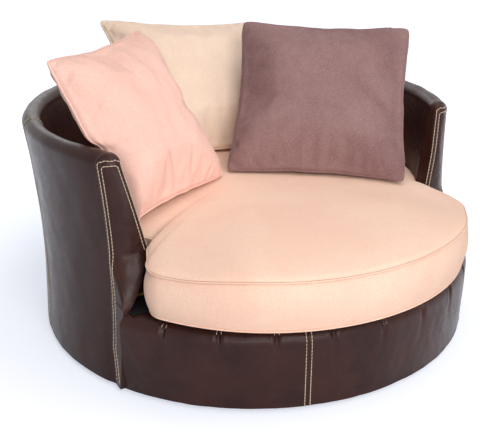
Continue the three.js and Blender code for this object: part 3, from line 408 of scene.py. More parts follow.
class Shader:
    """A new node material with its main shader and a few short ways to add nodes."""

    def __init__(self, name, color, roughness, **fixed):
        self.material, self.main = new_material(name)
        self.tree = self.material.node_tree
        feed(self.main, {"Base Color": linear(color), "Roughness": roughness})
        feed(self.main, {key.replace("_", " "): value for key, value in fixed.items()})
        self.place = self.add("ShaderNodeTexCoord").outputs["Object"]

    def add(self, kind, inputs={}, **settings):
        return add_node(self.tree, kind, inputs, **settings)

    def stretched(self, scale):
        inputs = {"Vector": self.place, "Scale": scale}
        return self.add("ShaderNodeMapping", inputs).outputs["Vector"]

    def noise(self, scale, detail=3.0, roughness=0.6, place=None, distortion=0.0):
        inputs = {"Vector": place or self.place, "Scale": scale, "Detail": detail,
                  "Roughness": roughness, "Distortion": distortion}
        return self.add("ShaderNodeTexNoise", inputs).outputs["Fac"]

    def cells(self, scale, feature):
        inputs = {"Vector": self.place, "Scale": scale}
        return self.add("ShaderNodeTexVoronoi", inputs, feature=feature).outputs["Distance"]

    def span(self, value, *limits):
        return map_range(self.tree, value, *limits)

    def mix(self, share, tone, color):
        inputs = {0: share, 6: linear(tone), 7: linear(color)}
        return self.add("ShaderNodeMix", inputs, data_type="RGBA").outputs[2]

    def tint(self, tone, color, value, *limits):
        """The tone, mixed with a colour as a value goes from one limit to the other."""
        return self.mix(self.span(value, *limits), tone, color)

    def relief(self, height, strength, distance, below=None):
        inputs = {"Height": height, "Strength": strength, "Distance": distance}
        if below is not None:
            inputs["Normal"] = below
        return self.add("ShaderNodeBump", inputs).outputs["Normal"]

    def finish(self, color, roughness, normal):
        feed(self.main, {"Base Color": color, "Roughness": roughness, "Normal": normal})
        return self.material


def leather_material(dark, light):
    low, high = 0.24, 0.38
    shader = Shader("leather", light, low, Specular_IOR_Level=0.16, Coat_Weight=0.08, Coat_Roughness=0.15)
    cloud = shader.noise(9.0, 4.0)
    fine = shader.noise(140.0)
    tone = shader.tint(dark, light, cloud, 0.32, 0.7)
    tone = shader.tint(tone, dark, fine, 0.3, 0.75, 0.0, 0.35)
    creases = shader.span(shader.cells(430.0, "DISTANCE_TO_EDGE"), 0.0, 0.16)
    tone = shader.tint(tone, dark, creases, 0.0, 1.0, 0.35, 0.0)
    rough = shader.span(shader.noise(26.0, 5.0, 0.65), 0.3, 0.7, low, high)
    normal = shader.relief(creases, 0.22, 0.0006)
    normal = shader.relief(fine, 0.12, 0.0012, normal)
    normal = shader.relief(shader.noise(34.0, 3.0, 0.5), 0.16, 0.003, normal)
    return shader.finish(tone, rough, normal)


def suede_material(name, base, light, dark, nap, weight=0.35):
    """Brushed microfibre: broad patches where the nap lies another way, and a fine fibre grain."""
    shader = Shader(name, base, 0.9, Specular_IOR_Level=0.2, Sheen_Weight=0.25, Sheen_Roughness=0.45)
    feed(shader.main, {"Sheen Tint": linear(light)})
    patch = shader.noise(nap, 3.0, 0.55, distortion=0.6)
    streak = shader.noise(38.0, 4.0, place=shader.stretched((1.0, 1.0, 0.45)))
    fibre = shader.noise(900.0, 2.0, 0.5)
    speck = shader.noise(260.0, 3.0, 0.65)
    tone = shader.tint(base, light, patch, 0.42, 0.78, 0.0, weight)
    tone = shader.tint(tone, dark, patch, 0.5, 0.2, 0.0, weight * 0.8)
    tone = shader.tint(tone, dark, streak, 0.35, 0.75, 0.0, weight * 0.35)
    tone = shader.tint(tone, dark, speck, 0.4, 0.68, 0.0, 0.3)
    tone = shader.tint(tone, light, speck, 0.6, 0.35, 0.0, 0.22)
    tone = shader.tint(tone, dark, fibre, 0.3, 0.7, 0.0, 0.16)
    rough = shader.span(streak, 0.3, 0.7, 0.82, 0.96)
    normal = shader.relief(fibre, 0.3, 0.0006)
    normal = shader.relief(streak, 0.12, 0.002, normal)
    return shader.finish(tone, rough, normal)


def thread_material():
    shader = Shader("thread", (205, 184, 160), 0.6, Specular_IOR_Level=0.35, Sheen_Weight=0.15)
    twist = shader.noise(1500.0, 2.0, 0.5)
    tone = shader.tint((176, 152, 128), (222, 204, 182), twist, 0.35, 0.65)
    return shader.finish(tone, shader.span(twist, 0.3, 0.7, 0.5, 0.7), shader.relief(twist, 0.4, 0.0004))


def timber_material():
    shader = Shader("timber", (201, 165, 114), 0.65, Specular_IOR_Level=0.3)
    rings = shader.noise(9.0, 5.0, place=shader.stretched((6.0, 6.0, 0.8)), distortion=1.2)
    pores = shader.noise(220.0, place=shader.stretched((3.0, 3.0, 0.3)))
    ramp = shader.add("ShaderNodeValToRGB", {"Fac": rings})
    ramp.color_ramp.elements.new(0.5)
    stops = ((0.25, (170, 130, 82)), (0.5, (204, 168, 116)), (0.8, (222, 190, 142)))
    for element, (at, color) in zip(ramp.color_ramp.elements, stops):
        element.position = at
        element.color = linear(color)
    tone = shader.tint(ramp.outputs["Color"], (140, 102, 62), pores, 0.45, 0.7, 0.0, 0.35)
    return shader.finish(tone, shader.span(rings, 0.3, 0.7, 0.55, 0.75), shader.relief(pores, 0.2, 0.0008))


def steel_material(name, color, roughness, metallic):
    shader = Shader(name, color, roughness, Metallic=metallic)
    smear = shader.noise(60.0, 4.0)
    scratch = shader.noise(300.0, place=shader.stretched((8.0, 1.0, 1.0)))
    darker = tuple(int(c * 0.8) for c in color)
    tone = shader.tint(color, darker, smear, 0.35, 0.7, 0.0, 0.6)
    rough = shader.span(smear, 0.3, 0.7, roughness * 0.8, roughness * 1.4)
    return shader.finish(tone, rough, shader.relief(scratch, 0.1, 0.0004))


def nylon_material():
    shader = Shader("nylon", (42, 42, 44), 0.5, Specular_IOR_Level=0.4)
    speckle = shader.noise(420.0)
    tone = shader.tint((36, 36, 38), (54, 54, 57), speckle, 0.35, 0.7)
    rough = shader.span(speckle, 0.3, 0.7, 0.42, 0.62)
    return shader.finish(tone, rough, shader.relief(speckle, 0.15, 0.0005))


def cloth_material(name, base, light):
    """Plain woven cloth: two crossed sets of fine ribs."""
    shader = Shader(name, base, 0.9, Specular_IOR_Level=0.15)
    inputs = {"Vector": shader.place, "Scale": 1400.0 / 6.283}
    ribs = [
        shader.add("ShaderNodeTexWave", inputs, wave_type="BANDS", bands_direction=axis).outputs["Fac"]
        for axis in ("X", "Y")
    ]
    weave = shader.add("ShaderNodeMath", {0: ribs[0], 1: ribs[1]}, operation="MULTIPLY").outputs[0]
    lint = shader.noise(40.0, 4.0)
    tone = shader.mix(weave, base, light)
    tone = shader.tint(tone, light, lint, 0.4, 0.75, 0.0, 0.3)
    return shader.finish(tone, shader.span(lint, 0.3, 0.7, 0.85, 0.97), shader.relief(weave, 0.3, 0.0005))


def foam_material():
    shader = Shader("foam", (233, 224, 196), 0.95, Specular_IOR_Level=0.1)
    pores = shader.cells(700.0, "F1")
    tone = shader.tint((206, 190, 150), (238, 230, 205), pores, 0.1, 0.6)
    return shader.finish(tone, shader.span(pores, 0.1, 0.6, 0.9, 1.0), shader.relief(pores, 0.5, 0.001))


THREAD = thread_material()
LEATHER = leather_material((43, 20, 17), (66, 35, 29))

SLOT_MATERIALS = {
    "leather": LEATHER,
    "leather_panel": LEATHER,
    "seat_fabric": suede_material("seat_suede", (247, 209, 188), (255, 230, 208), (234, 184, 164), 5.0),
    "pillow_pink": suede_material("pink_suede", (244, 200, 186), (252, 218, 204), (224, 170, 158), 6.0),
    "pillow_cream": suede_material("cream_suede", (248, 222, 200), (255, 238, 218), (230, 196, 176), 6.0),
    "pillow_mauve": suede_material("mauve_suede", (142, 109, 107), (178, 146, 142), (104, 72, 77), 4.0, 0.6),
    "timber": timber_material(),
    "foam": foam_material(),
    "steel": steel_material("steel", (150, 153, 157), 0.35, 0.9),
    "painted_steel": steel_material("painted_steel", (34, 34, 37), 0.5, 0.4),
    "glide": nylon_material(),
    "dark_cloth": cloth_material("dark_cloth", (17, 16, 19), (32, 31, 36)),
}


def dress_nodes():
    """Gives every CAD node that stays the full material of its slot."""
    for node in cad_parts.values():
        for entry in node.material_slots:
            entry.material = SLOT_MATERIALS[entry.material.name.split(".")[0]]


# ---- camera, light and floor

# Solved from the photograph: the camera's place and direction, and its focal length over the width.
CAMERA_PLACE = (-1.1708, -2.1203, 1.2276)
CAMERA_DIRECTION = (0.4492, 0.8103, -0.3763)
CAMERA_FOCAL_SHARE = 895.0 / 504.0
SENSOR_WIDTH = 36.0

# Name, place, aim, size, power and colour.
LAMPS = (
    ("key", (-0.7, -3.0, 2.3), (0.0, -0.1, 0.35), (1.5, 1.5), 51.0, (1.0, 0.98, 0.95)),
    ("strip", (-0.9, -3.3, 0.85), (0.0, 0.0, 0.4), (3.8, 0.55), 40.0, (1.0, 0.99, 0.98)),
    ("top", (0.3, -0.2, 3.2), (0.0, 0.0, 0.3), (2.2, 2.2), 28.0, (1.0, 0.98, 0.96)),
    ("fill", (1.9, -1.9, 2.4), (0.0, 0.0, 0.4), (1.0, 1.0), 12.0, (0.96, 0.98, 1.0)),
    ("rear", (0.6, 2.8, 2.2), (0.0, 0.0, 0.4), (1.8, 1.8), 14.0, (0.96, 0.98, 1.0)),
)
AMBIENT = 0.25
FLOOR_HALF = 30.0
# The floor's glow rises from the object's shadow to the white background, by distance from the middle.
GLOW_START, GLOW_END = 0.75, 1.7
GLOW_NEAR, GLOW_FAR = 0.62, 1.0


def background_rays(tree):
    """1 for the rays that see the plain background: the camera's, and those of gloss and glass."""
    path = add_node(tree, "ShaderNodeLightPath")
    seen = path.outputs["Is Camera Ray"]
    for other in ("Is Glossy Ray", "Is Transmission Ray"):
        inputs = {0: seen, 1: path.outputs[other]}
        seen = add_node(tree, "ShaderNodeMath", inputs, operation="MAXIMUM").outputs[0]
    return seen


def aim(name, data, place, direction):
    thing = add_object(name, data)
    thing.location = place
    thing.rotation_mode = "QUATERNION"
    thing.rotation_quaternion = Vector(direction).to_track_quat("-Z", "Y")
    return thing


def build_camera():
    lens = bpy.data.cameras.new("camera")
    lens.lens = CAMERA_FOCAL_SHARE * SENSOR_WIDTH
    lens.sensor_width = SENSOR_WIDTH
    lens.sensor_fit = "HORIZONTAL"
    lens.clip_end = 100.0
    bpy.context.scene.camera = aim("camera", lens, CAMERA_PLACE, CAMERA_DIRECTION)
    bpy.context.scene.view_settings.view_transform = "Standard"


def build_light():
    world = bpy.data.worlds.new("studio")
    bpy.context.scene.world = world
    world.use_nodes = True
    tree = world.node_tree
    tree.nodes.clear()
    inputs = {"Color": (0.93, 0.96, 1.0, 1.0), "Strength": AMBIENT}
    ambient = add_node(tree, "ShaderNodeBackground", inputs)
    white = add_node(tree, "ShaderNodeBackground", {"Color": (1.0, 1.0, 1.0, 1.0), "Strength": 1.0})
    inputs = {0: background_rays(tree), 1: ambient.outputs[0], 2: white.outputs[0]}
    either = add_node(tree, "ShaderNodeMixShader", inputs)
    add_node(tree, "ShaderNodeOutputWorld", {"Surface": either.outputs[0]})
    for name, place, target, size, power, color in LAMPS:
        lamp = bpy.data.lights.new(name, "AREA")
        lamp.shape = "RECTANGLE"
        lamp.size, lamp.size_y = size
        lamp.energy = power
        lamp.color = color
        aim(name, lamp, place, Vector(target) - Vector(place))


def build_floor():
    mesh = bpy.data.meshes.new("floor")
    corners = [(x * FLOOR_HALF, y * FLOOR_HALF, 0.0) for x, y in ((-1, -1), (1, -1), (1, 1), (-1, 1))]
    mesh.from_pydata(corners, [], [(0, 1, 2, 3)])
    floor = add_object("floor", mesh)
    pale, shader = new_material("floor")
    tree = pale.node_tree
    feed(shader, {"Base Color": (0.62, 0.62, 0.64, 1.0), "Roughness": 0.75, "Specular IOR Level": 0.1})
    place = add_node(tree, "ShaderNodeTexCoord").outputs["Object"]
    away = add_node(tree, "ShaderNodeVectorMath", {0: place}, operation="LENGTH").outputs["Value"]
    further = map_range(tree, away, GLOW_START, GLOW_END, GLOW_NEAR, GLOW_FAR)
    inputs = {0: background_rays(tree), 1: further}
    seen = add_node(tree, "ShaderNodeMath", inputs, operation="MULTIPLY").outputs[0]
    # The glow's pale blue is painted shade colour: where the chair's shadow dims the lamps, the glow
    # outweighs them and tints that shadow blue.
    glow = add_node(tree, "ShaderNodeEmission", {"Color": (0.86, 0.9, 1.0, 1.0), "Strength": seen})
    both = add_node(tree, "ShaderNodeAddShader", {0: shader.outputs[0], 1: glow.outputs[0]})
    feed(tree.nodes["Material Output"], {"Surface": both.outputs[0]})
    mesh.materials.append(pale)


# ---- barrel

BARREL_COLUMNS = 420
COVER_SEAM = math.pi * 0.86
RIM_SEAM = math.radians(100.0)
OUTER_PUFF, INNER_PUFF = 1.3, 1.6
RIM_STITCH_TURN = 0.009
RIM_STITCH_FOOT = 380.0


def barrel_angles(radius, height, count):
    limit = np.arccos(np.minimum(1.0, arm_depth(height) / radius))
    share = np.linspace(0.0, 1.0, count)
    return lerp(limit[:, None], TAU - limit[:, None], share[None, :])


def rim_seam_groove(angle, width):
    """1 on the two cross seams of the cover."""
    left = np.abs(angle - (TAU - RIM_SEAM)) * DRUM_RADIUS
    right = np.abs(angle - RIM_SEAM) * DRUM_RADIUS
    return bump(np.minimum(left, right), width)


def off_surface(profile, off, angle, raked=True):
    """Points that stand off a profile, whose rows are radius, height and outward direction."""
    radius, height, normal_r, normal_z = profile
    return around(radius + normal_r * off, height + normal_z * off, angle, raked)


def barrel_grid(profile, puff, seed):
    """A grid of the barrel's surface: rows follow the profile, columns run round the back."""
    radius, height = profile[:2]
    angle = barrel_angles(radius, height, BARREL_COLUMNS)
    flat = np.stack([angle * DRUM_RADIUS, np.broadcast_to(height[:, None] * 0.4, angle.shape)], -1)
    off = puff * waves(flat, 260.0, seed, 3)
    off += 0.9 * rim_seam_groove(angle, 16.0) - 1.6 * rim_seam_groove(angle, 3.0)
    edge = np.minimum(angle - angle[:, :1], angle[:, -1:] - angle) * DRUM_RADIUS
    off *= smoothstep(edge, 0.0, 30.0)
    return off_surface([v[:, None] for v in profile], off, angle)


def barrel_cover(profile, puff, seed):
    radius, height, normal_r, normal_z = profile
    under = radius - COVER * normal_r, height - COVER * normal_z, normal_r, normal_z
    return slab(barrel_grid(profile, puff, seed), barrel_grid(under, 0.0, seed))


def roll_profile(start, end, steps):
    angle = np.linspace(start, end, steps)
    side, up = np.cos(angle), np.sin(angle)
    return CROWN_RADIUS + ROLL_RADIUS * side, ROLL_Z + ROLL_RADIUS * up, side, up


def wall_profile(radius, z, facing):
    return radius(z), z, np.full(len(z), facing), np.zeros(len(z))


def chain(*profiles):
    return [np.concatenate(rows) for rows in zip(*profiles)]


def sew(name, rows):
    make_object(name, join(rows), "chair_body")


def build_barrel():
    wall = wall_profile(outer_radius, np.linspace(HEM_HEIGHT, ROLL_Z, 90)[:-1], 1.0)
    outside = chain(wall, roll_profile(0.0, COVER_SEAM, 34))
    piece = make_object("outer_leather", barrel_cover(outside, OUTER_PUFF, 11), "chair_body", "leather")
    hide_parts("outer_cover", "rim_edge_roll")

    wall = wall_profile(inner_radius, np.linspace(ROLL_Z, SEAT_RING_TOP + GAP, 60)[1:], -1.0)
    inside = chain(roll_profile(COVER_SEAM + GAP / ROLL_RADIUS, math.pi, 6), wall)
    piece = make_object("inner_leather", barrel_cover(inside, INNER_PUFF, 23), "chair_body", "leather")
    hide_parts("inner_cover", "back_padding")

    wall = wall_profile(outer_radius, np.linspace(HEM_HEIGHT + 12.0, ROLL_Z, 60), 1.0)
    inner = wall_profile(inner_radius, np.linspace(ROLL_Z, RIM_STITCH_FOOT, 24), -1.0)
    over = chain(wall, [v[1:] for v in roll_profile(0.0, math.pi, 40)], [v[1:] for v in inner])
    parts = []
    for seam in (TAU - RIM_SEAM + RIM_STITCH_TURN, RIM_SEAM - RIM_STITCH_TURN):
        angle = np.full(len(over[0]), seam)
        parts.append(stitches(off_surface(over, 0.0, angle), outward(over[2], over[3], angle)))
    sew("rim_seam_stitching", parts)


# ---- front border

SEAM_ROW_OFFSET = 6.5
TUCK_ROW_OFFSETS = (4.6, 6.2)
TUCK_ROW_TURN = (1.15, 0.62)


def border_profile():
    """The border's side, rolled edge and top, from the hem up."""
    center_r, center_z = BORDER_OUTER - BORDER_ROLL, BORDER_TOP - BORDER_ROLL
    z = np.linspace(HEM_HEIGHT, center_z, 40)[:-1]
    share = (z - HEM_HEIGHT) / (center_z - HEM_HEIGHT)
    r = BORDER_FOOT + (BORDER_OUTER - BORDER_FOOT) * np.sin(share * math.pi / 2.0)
    flat = np.linspace(center_r, RAIL_INNER, 5)[1:]
    return chain(
        (r, z, np.ones(len(z)), np.zeros(len(z))),
        border_roll(np.linspace(0.0, math.pi / 2.0, 26)),
        (flat, np.full(4, BORDER_TOP), np.zeros(4), np.ones(4)),
    )


def border_roll(turn):
    side, up = np.cos(turn), np.sin(turn)
    return BORDER_OUTER + BORDER_ROLL * (side - 1.0), BORDER_TOP + BORDER_ROLL * (up - 1.0), side, up


def tuck_angles():
    return TUCK_CENTER + (np.arange(TUCK_COUNT) - (TUCK_COUNT - 1) / 2.0) * TUCK_PITCH


def border_relief(radius, height, angle):
    """How far the cover stands off its plain shape: tucks on the roll, puffs between them, the seam."""
    off = np.zeros_like(angle)
    roll = smoothstep(height, BORDER_TOP - 62.0, BORDER_TOP - 16.0)
    top_fade = smoothstep(radius, RING_OUTER - 6.0, RING_OUTER + 12.0)
    for k, tuck in enumerate(tuck_angles()):
        lean = 0.012 * math.sin(2.4 * k) * smoothstep(height, BORDER_TOP, BORDER_TOP - 150.0)
        away = (angle - tuck - lean) * DRUM_RADIUS
        off -= TUCK_DEPTH * bump(away, 5.0) * roll * top_fade
        reach = smoothstep(height, BORDER_TOP - 150.0, BORDER_TOP - 30.0)
        off -= 1.5 * bump(away, 8.0 + 5.0 * (1.0 - reach)) * reach * top_fade
        off += 0.9 * bump(np.abs(away) - 13.0, 6.0) * roll * top_fade
    seam = (angle - SKIRT_SEAM) * DRUM_RADIUS
    off -= 1.5 * bump(seam, 2.0)
    off += 0.8 * bump(seam, 11.0)
    off += 0.8 * smoothstep(height, HEM_HEIGHT + 10.0, HEM_HEIGHT)
    return off


def border_row(profile, angle, **size):
    """A stitch row that follows the border's relief."""
    path = off_surface(profile, border_relief(*profile[:2], angle), angle, raked=False)
    return stitches(path, outward(profile[2], profile[3], angle), **size)


def build_border():
    profile = border_profile()
    radius, height, normal_r, normal_z = (v[:, None] for v in profile)
    angle = np.arccos(BORDER_END / radius) * np.linspace(-1.0, 1.0, 620)[None, :]
    flat = np.stack([angle * DRUM_RADIUS, np.broadcast_to(height * 0.6, angle.shape)], -1)
    off = border_relief(radius, height, angle)
    off += 0.8 * waves(flat, 120.0, 5, 3) * smoothstep(height, BORDER_TOP, BORDER_TOP - 40.0)
    front = off_surface((radius, height, normal_r, normal_z), off, angle, raked=False)
    under_r = radius - BORDER_SKIN * normal_r - TUCK_DEPTH * normal_r
    back = around(under_r + 0.0 * angle, height - BORDER_SKIN * normal_z + 0.0 * angle, angle, raked=False)
    piece = make_object("border_leather", slab(front, back), "chair_body", "leather")
    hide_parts("front_border", "front_border_pad")

    side = [v[profile[1] < BORDER_TOP - 3.0] for v in profile]
    sew("border_seam_stitching", [
        border_row(side, np.full(len(side[0]), SKIRT_SEAM + offset / DRUM_RADIUS))
        for offset in (-SEAM_ROW_OFFSET, SEAM_ROW_OFFSET)
    ])

    roll = border_roll(np.linspace(*TUCK_ROW_TURN, 9))
    beside = np.linspace(*TUCK_ROW_OFFSETS, 9) / DRUM_RADIUS
    sew("border_tuck_stitching", [
        border_row(roll, tuck + sign * beside, length=10.0, pitch=12.0, radius=0.9)
        for tuck in tuck_angles() for sign in (-1.0, 1.0)
    ])


# ---- arm front panels

# The arm fronts turn from the barrel's side at the seat to face forward above it.
FACE_TURN_TOP = 345.0
FACE_EDGE = 9.0
FACE_OUTER_DEPTH = 10.0
FACE_INNER_DEPTH = 42.0
FACE_TOP_DEPTH = 27.0
FACE_RECESS = 2.5
FACE_ROWS = (5.0, 14.0)
FACE_ROW_DROP = 13.0
FACE_ROW_START = 4.0


def panel_face(z):
    above = smoothstep(z, DECK_BOTTOM, DECK_BOTTOM + PANEL_STEP)
    rise = np.clip((z - DECK_BOTTOM) / (RIM_HEIGHT - DECK_BOTTOM), 0.0, 1.0)
    padding = PANEL_DEPTH + PANEL_CROWN * np.sin(math.pi * rise)
    return lerp(BORDER_END - ARM_FRONT + arm_rake(z) - GAP, padding, above)


def at_arm(radius, z):
    return np.sqrt(np.maximum(radius ** 2 - arm_depth(z) ** 2, 1.0))


def strip_inner(z):
    """Inner side of the strip beside the border's end: it clears the bottom ring, then the front rail."""
    reach = RING_OUTER + 1.2
    beside_ring = math.sqrt(reach ** 2 - (ARM_FRONT - float(arm_rake(54.5))) ** 2)
    beside_rail = math.sqrt(reach ** 2 - ARM_FRONT ** 2)
    return np.interp(z, WALL_LEVELS[1:3], [beside_ring, beside_rail])


def panel_bounds(z):
    """Outer and inner edge of the arm's front at a height, as distances from the middle plane."""
    up = np.clip(z - ROLL_Z, 0.0, ROLL_RADIUS)
    half = np.sqrt(np.maximum(ROLL_RADIUS ** 2 - up ** 2, 0.0))
    outer = np.where(z > ROLL_Z, CROWN_RADIUS + half, outer_radius(z))
    inner = np.where(z > ROLL_Z, CROWN_RADIUS - half, inner_radius(z))
    return at_arm(outer, z), at_arm(inner, z)


def face_depths(z):
    """How far the arm's front stands before the arm at its outer and inner edge."""
    turned = smoothstep(z, DECK_BOTTOM, FACE_TURN_TOP)
    low = BORDER_END - ARM_FRONT + arm_rake(z) - GAP
    high = lerp(FACE_INNER_DEPTH, FACE_TOP_DEPTH, smoothstep(z, 430.0, RIM_HEIGHT))
    return lerp(low, FACE_OUTER_DEPTH, turned), lerp(low, high, turned), turned


def face_grid(z, shelf, columns=46, edge_columns=14):
    """Sideways places and depths of the arm's front, from its outer to its inner edge."""
    outer, inner = panel_bounds(z)
    strip = strip_inner(z)
    reach = np.clip((z - DECK_BOTTOM) / (FACE_TURN_TOP - DECK_BOTTOM), 0.0, 1.0)
    rim = inner + np.minimum(FACE_EDGE, 0.3 * (outer - inner))
    stop = lerp(strip, rim, reach)
    end = np.where(np.arange(len(z)) < shelf, stop - 1.0, inner)
    even = 0.5 - 0.5 * np.cos(np.linspace(0.0, math.pi, columns + 1))
    x = lerp(outer[:, None], stop[:, None], lerp(even, np.linspace(0, 1, columns + 1), 0.4)[None, :])
    rest = lerp(stop[:, None], end[:, None], np.linspace(0.0, 1.0, edge_columns + 1)[None, 1:] ** 1.4)
    x = np.concatenate([x, rest], 1)

    first, last, turned = (v[:, None] for v in face_depths(z))
    share = np.clip((outer[:, None] - x) / np.maximum(outer - stop, 1.0)[:, None], 0.0, 1.0)
    depth = lerp(first, last, np.sin(share * math.pi / 2.0) ** 0.9)
    upper = z > FACE_TURN_TOP
    border = np.concatenate([np.stack([outer, z], -1), np.stack([inner, z], -1)[upper]])
    grid = np.stack([x, np.broadcast_to(z[:, None], x.shape)], -1)
    away = np.min(np.linalg.norm(grid[:, :, None] - border[None, None], axis=-1), axis=-1)
    lean = np.clip(1.0 - away / FACE_EDGE, 0.0, 1.0)
    depth = depth * lerp(1.0, lerp(0.35, 1.0, np.sqrt(1.0 - lean ** 2)), turned)
    seam = sum(FACE_ROWS) / 2.0
    inside = np.clip(away - seam, 0.0, None)
    depth = depth + turned * 4.0 * (1.0 - np.exp(-inside / 14.0))
    depth = depth - turned * 1.5 * bump(away - seam, 2.2)
    dents = waves(grid * np.array([1.0, 0.6]), 80.0, 32, 3)
    depth = depth + 1.3 * dents * np.clip(inside / 25.0, 0.0, 1.0) * turned
    past = np.clip(stop[:, None] - x, 0.0, 12.0) / 12.0
    hollow = lerp(FACE_RECESS, depth, np.sqrt(1.0 - past ** 2))
    below = 1.0 - smoothstep(z, FACE_TURN_TOP - 10.0, FACE_TURN_TOP + 12.0)[:, None]
    return x, np.maximum(lerp(depth, hollow, below), GAP + 0.5), columns


def face_row(offset, x, y, z):
    """A stitch line beside the arm front's edge: up its outer side, across the top and down."""
    def on_face(across, height):
        i = np.clip(np.searchsorted(z, height) - 1, 0, len(z) - 2)
        t = (height - z[i]) / (z[i + 1] - z[i])
        rows = [np.interp(across, x[k][::-1], y[k][::-1]) for k in (i, i + 1)]
        return lerp(rows[0], rows[1], t)

    top = RIM_HEIGHT - FACE_ROW_DROP - offset
    points = []
    for i in np.nonzero((z > HEM_HEIGHT + 6.0) & (z < top - 3.0))[0]:
        across = np.concatenate([x[i, :1], x[i]])
        front = np.concatenate([[float(arm_rake(z[i])) - ARM_FRONT], y[i]])
        far = np.concatenate([[0.0], np.cumsum(np.hypot(np.diff(across), np.diff(front)))])
        beside = 1.0 - smoothstep(z[i], DECK_BOTTOM, FACE_TURN_TOP)
        place = (offset + FACE_ROW_START) * (1.0 + 0.8 * beside)
        points.append((np.interp(place, far, across), np.interp(place, far, front), z[i]))
    falling = np.linspace(top, FACE_TURN_TOP - 6.0, 60)
    _, inner = panel_bounds(np.minimum(falling, ROLL_Z))
    outer, _ = panel_bounds(np.array([min(top, ROLL_Z)]))
    line = [(outer[0] - offset, top)] + [(inner[i] + offset, height) for i, height in enumerate(falling)]
    points += [(across, on_face(across, height), height) for across, height in line]
    return resample(soften(resample(points, 2.0), 3)[2:-2], 3.0)


def build_panel(side):
    name = "right" if side > 0 else "left"
    low = np.linspace(HEM_HEIGHT, DECK_BOTTOM + GAP, 44)
    high = np.linspace(DECK_BOTTOM + GAP, ROLL_Z, 110)[1:]
    top = ROLL_Z + ROLL_RADIUS * np.sin(np.linspace(0.0, math.pi / 2.0, 26))[1:]
    top[-1] = ROLL_Z + ROLL_RADIUS * 0.9997
    z = np.concatenate([low, high, top])
    shelf = len(low) - 1
    x, depth, columns = face_grid(z, shelf)
    mask = np.ones((len(z) - 1, x.shape[1] - 1), bool)
    mask[:shelf, columns:] = False
    y = arm_rake(z)[:, None] - ARM_FRONT - depth
    front = np.stack([side * x, y, np.broadcast_to(z[:, None], x.shape)], -1)
    flat = np.broadcast_to((arm_rake(z) - ARM_FRONT - GAP)[:, None], x.shape)
    back = np.stack([side * x, flat, np.broadcast_to(z[:, None], x.shape)], -1)
    points, faces = slab(front, back, mask)
    piece = make_object(f"arm_front_{name}", (points, faces), "chair_body", "leather", sharp=60.0)
    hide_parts(f"arm_panel_{name}")

    surface = BVHTree.FromPolygons(points.tolist(), faces)
    facing = Vector((side * 0.6, -1.0, 0.2))
    parts = []
    for offset in FACE_ROWS:
        places, normals = [], []
        for across, front_y, height in face_row(offset, x, y, z):
            place, normal, _, _ = surface.find_nearest(Vector((side * across, front_y, height)))
            places.append(tuple(place))
            normals.append(tuple(normal if normal.dot(facing) > 0 else -normal))
        parts.append(stitches(np.array(places), soften(np.array(normals), 2)))
    sew(f"arm_stitching_{name}", parts)


# ---- seat cushion and deck


def seat_outline(front, center, corner, edge, turn, wing, z, count=140):
    """A round front, rounded corners, a wing before each arm and a round back between the walls."""
    angle = np.linspace(-edge, edge, count)
    first = np.stack([front * np.sin(angle), center - front * np.cos(angle)], -1)
    swing = edge + turn * np.linspace(0.0, 1.0, 25)[1:]
    mid = np.array([(front - corner) * math.sin(edge), center - (front - corner) * math.cos(edge)])
    side = mid + corner * np.stack([np.sin(swing), -np.cos(swing)], -1)
    radius = inner_radius(z) - CUSHION_WALL_GAP
    waist = panel_face(z) + arm_depth(z) + CUSHION_WALL_GAP
    start = math.acos(waist / radius)
    wing = np.array(wing)
    inside = np.array([radius * math.sin(start), rake(z) - radius * math.cos(start)])
    side = np.concatenate([side, lerp(side[-1], wing, np.linspace(0, 1, 8)[1:, None])])
    side = np.concatenate([side, lerp(wing, inside, np.linspace(0, 1, 12)[1:-1, None])])
    swing = np.linspace(start, TAU - start, count)
    back = np.stack([radius * np.sin(swing), rake(z) - radius * np.cos(swing)], -1)
    mirror = side[::-1] * np.array([-1.0, 1.0])
    return np.concatenate([first, side, back, mirror])


def stack(rings, low, high):
    """A closed body from rings of points, with a middle point below and above."""
    n = len(rings[0])
    points = np.concatenate([*rings, [low], [high]])
    faces = band_faces(len(rings), n)
    last = (len(rings) - 1) * n
    for j in range(n):
        k = (j + 1) % n
        faces.append((len(points) - 2, k, j))
        faces.append((len(points) - 1, last + j, last + k))
    return points, faces


def crown(scale):
    """Share of the crown's height at a share of the way from the middle to the edge."""
    return (1.0 - np.minimum(scale, 1.0) ** 3) ** 0.62


def cushion_level(z, inset):
    return seat_outline(CUSHION_FRONT - inset, CUSHION_CENTER, CUSHION_CORNER_RADIUS - inset,
                        CUSHION_CORNER_ANGLE, CUSHION_CORNER_TURN, WING_BACK, z)


def settle_cushion(points):
    """Lets the front corners droop and round off, and the loose front sit a little to the left."""
    x, y, z = points.T
    center_y = CUSHION_CENTER
    angle = np.abs(np.arctan2(x, center_y - y))
    far = np.hypot(x, y - center_y) / CUSHION_FRONT
    corner = smoothstep(angle, 0.55, 0.95) * smoothstep(angle, 1.3, 1.02)
    up = np.clip((z - CUSHION_BOTTOM) / CUSHION_THICKNESS, 0.0, 1.3)
    z = z - CORNER_DROOP * corner * up * np.clip(far, 0.0, 1.1) ** 3
    tuck = corner * np.clip(far, 0.0, 1.1) ** 2 * (CORNER_TUCK * up ** 2 + 4.0 * (1.0 - up) ** 2)
    share = 1.0 - tuck / np.maximum(np.hypot(x, y - center_y), 1.0)
    x, y = x * share, center_y + (y - center_y) * share
    x = x - FRONT_SHIFT * smoothstep(-y, 150.0, 400.0)
    return np.stack([x, y, z], -1)


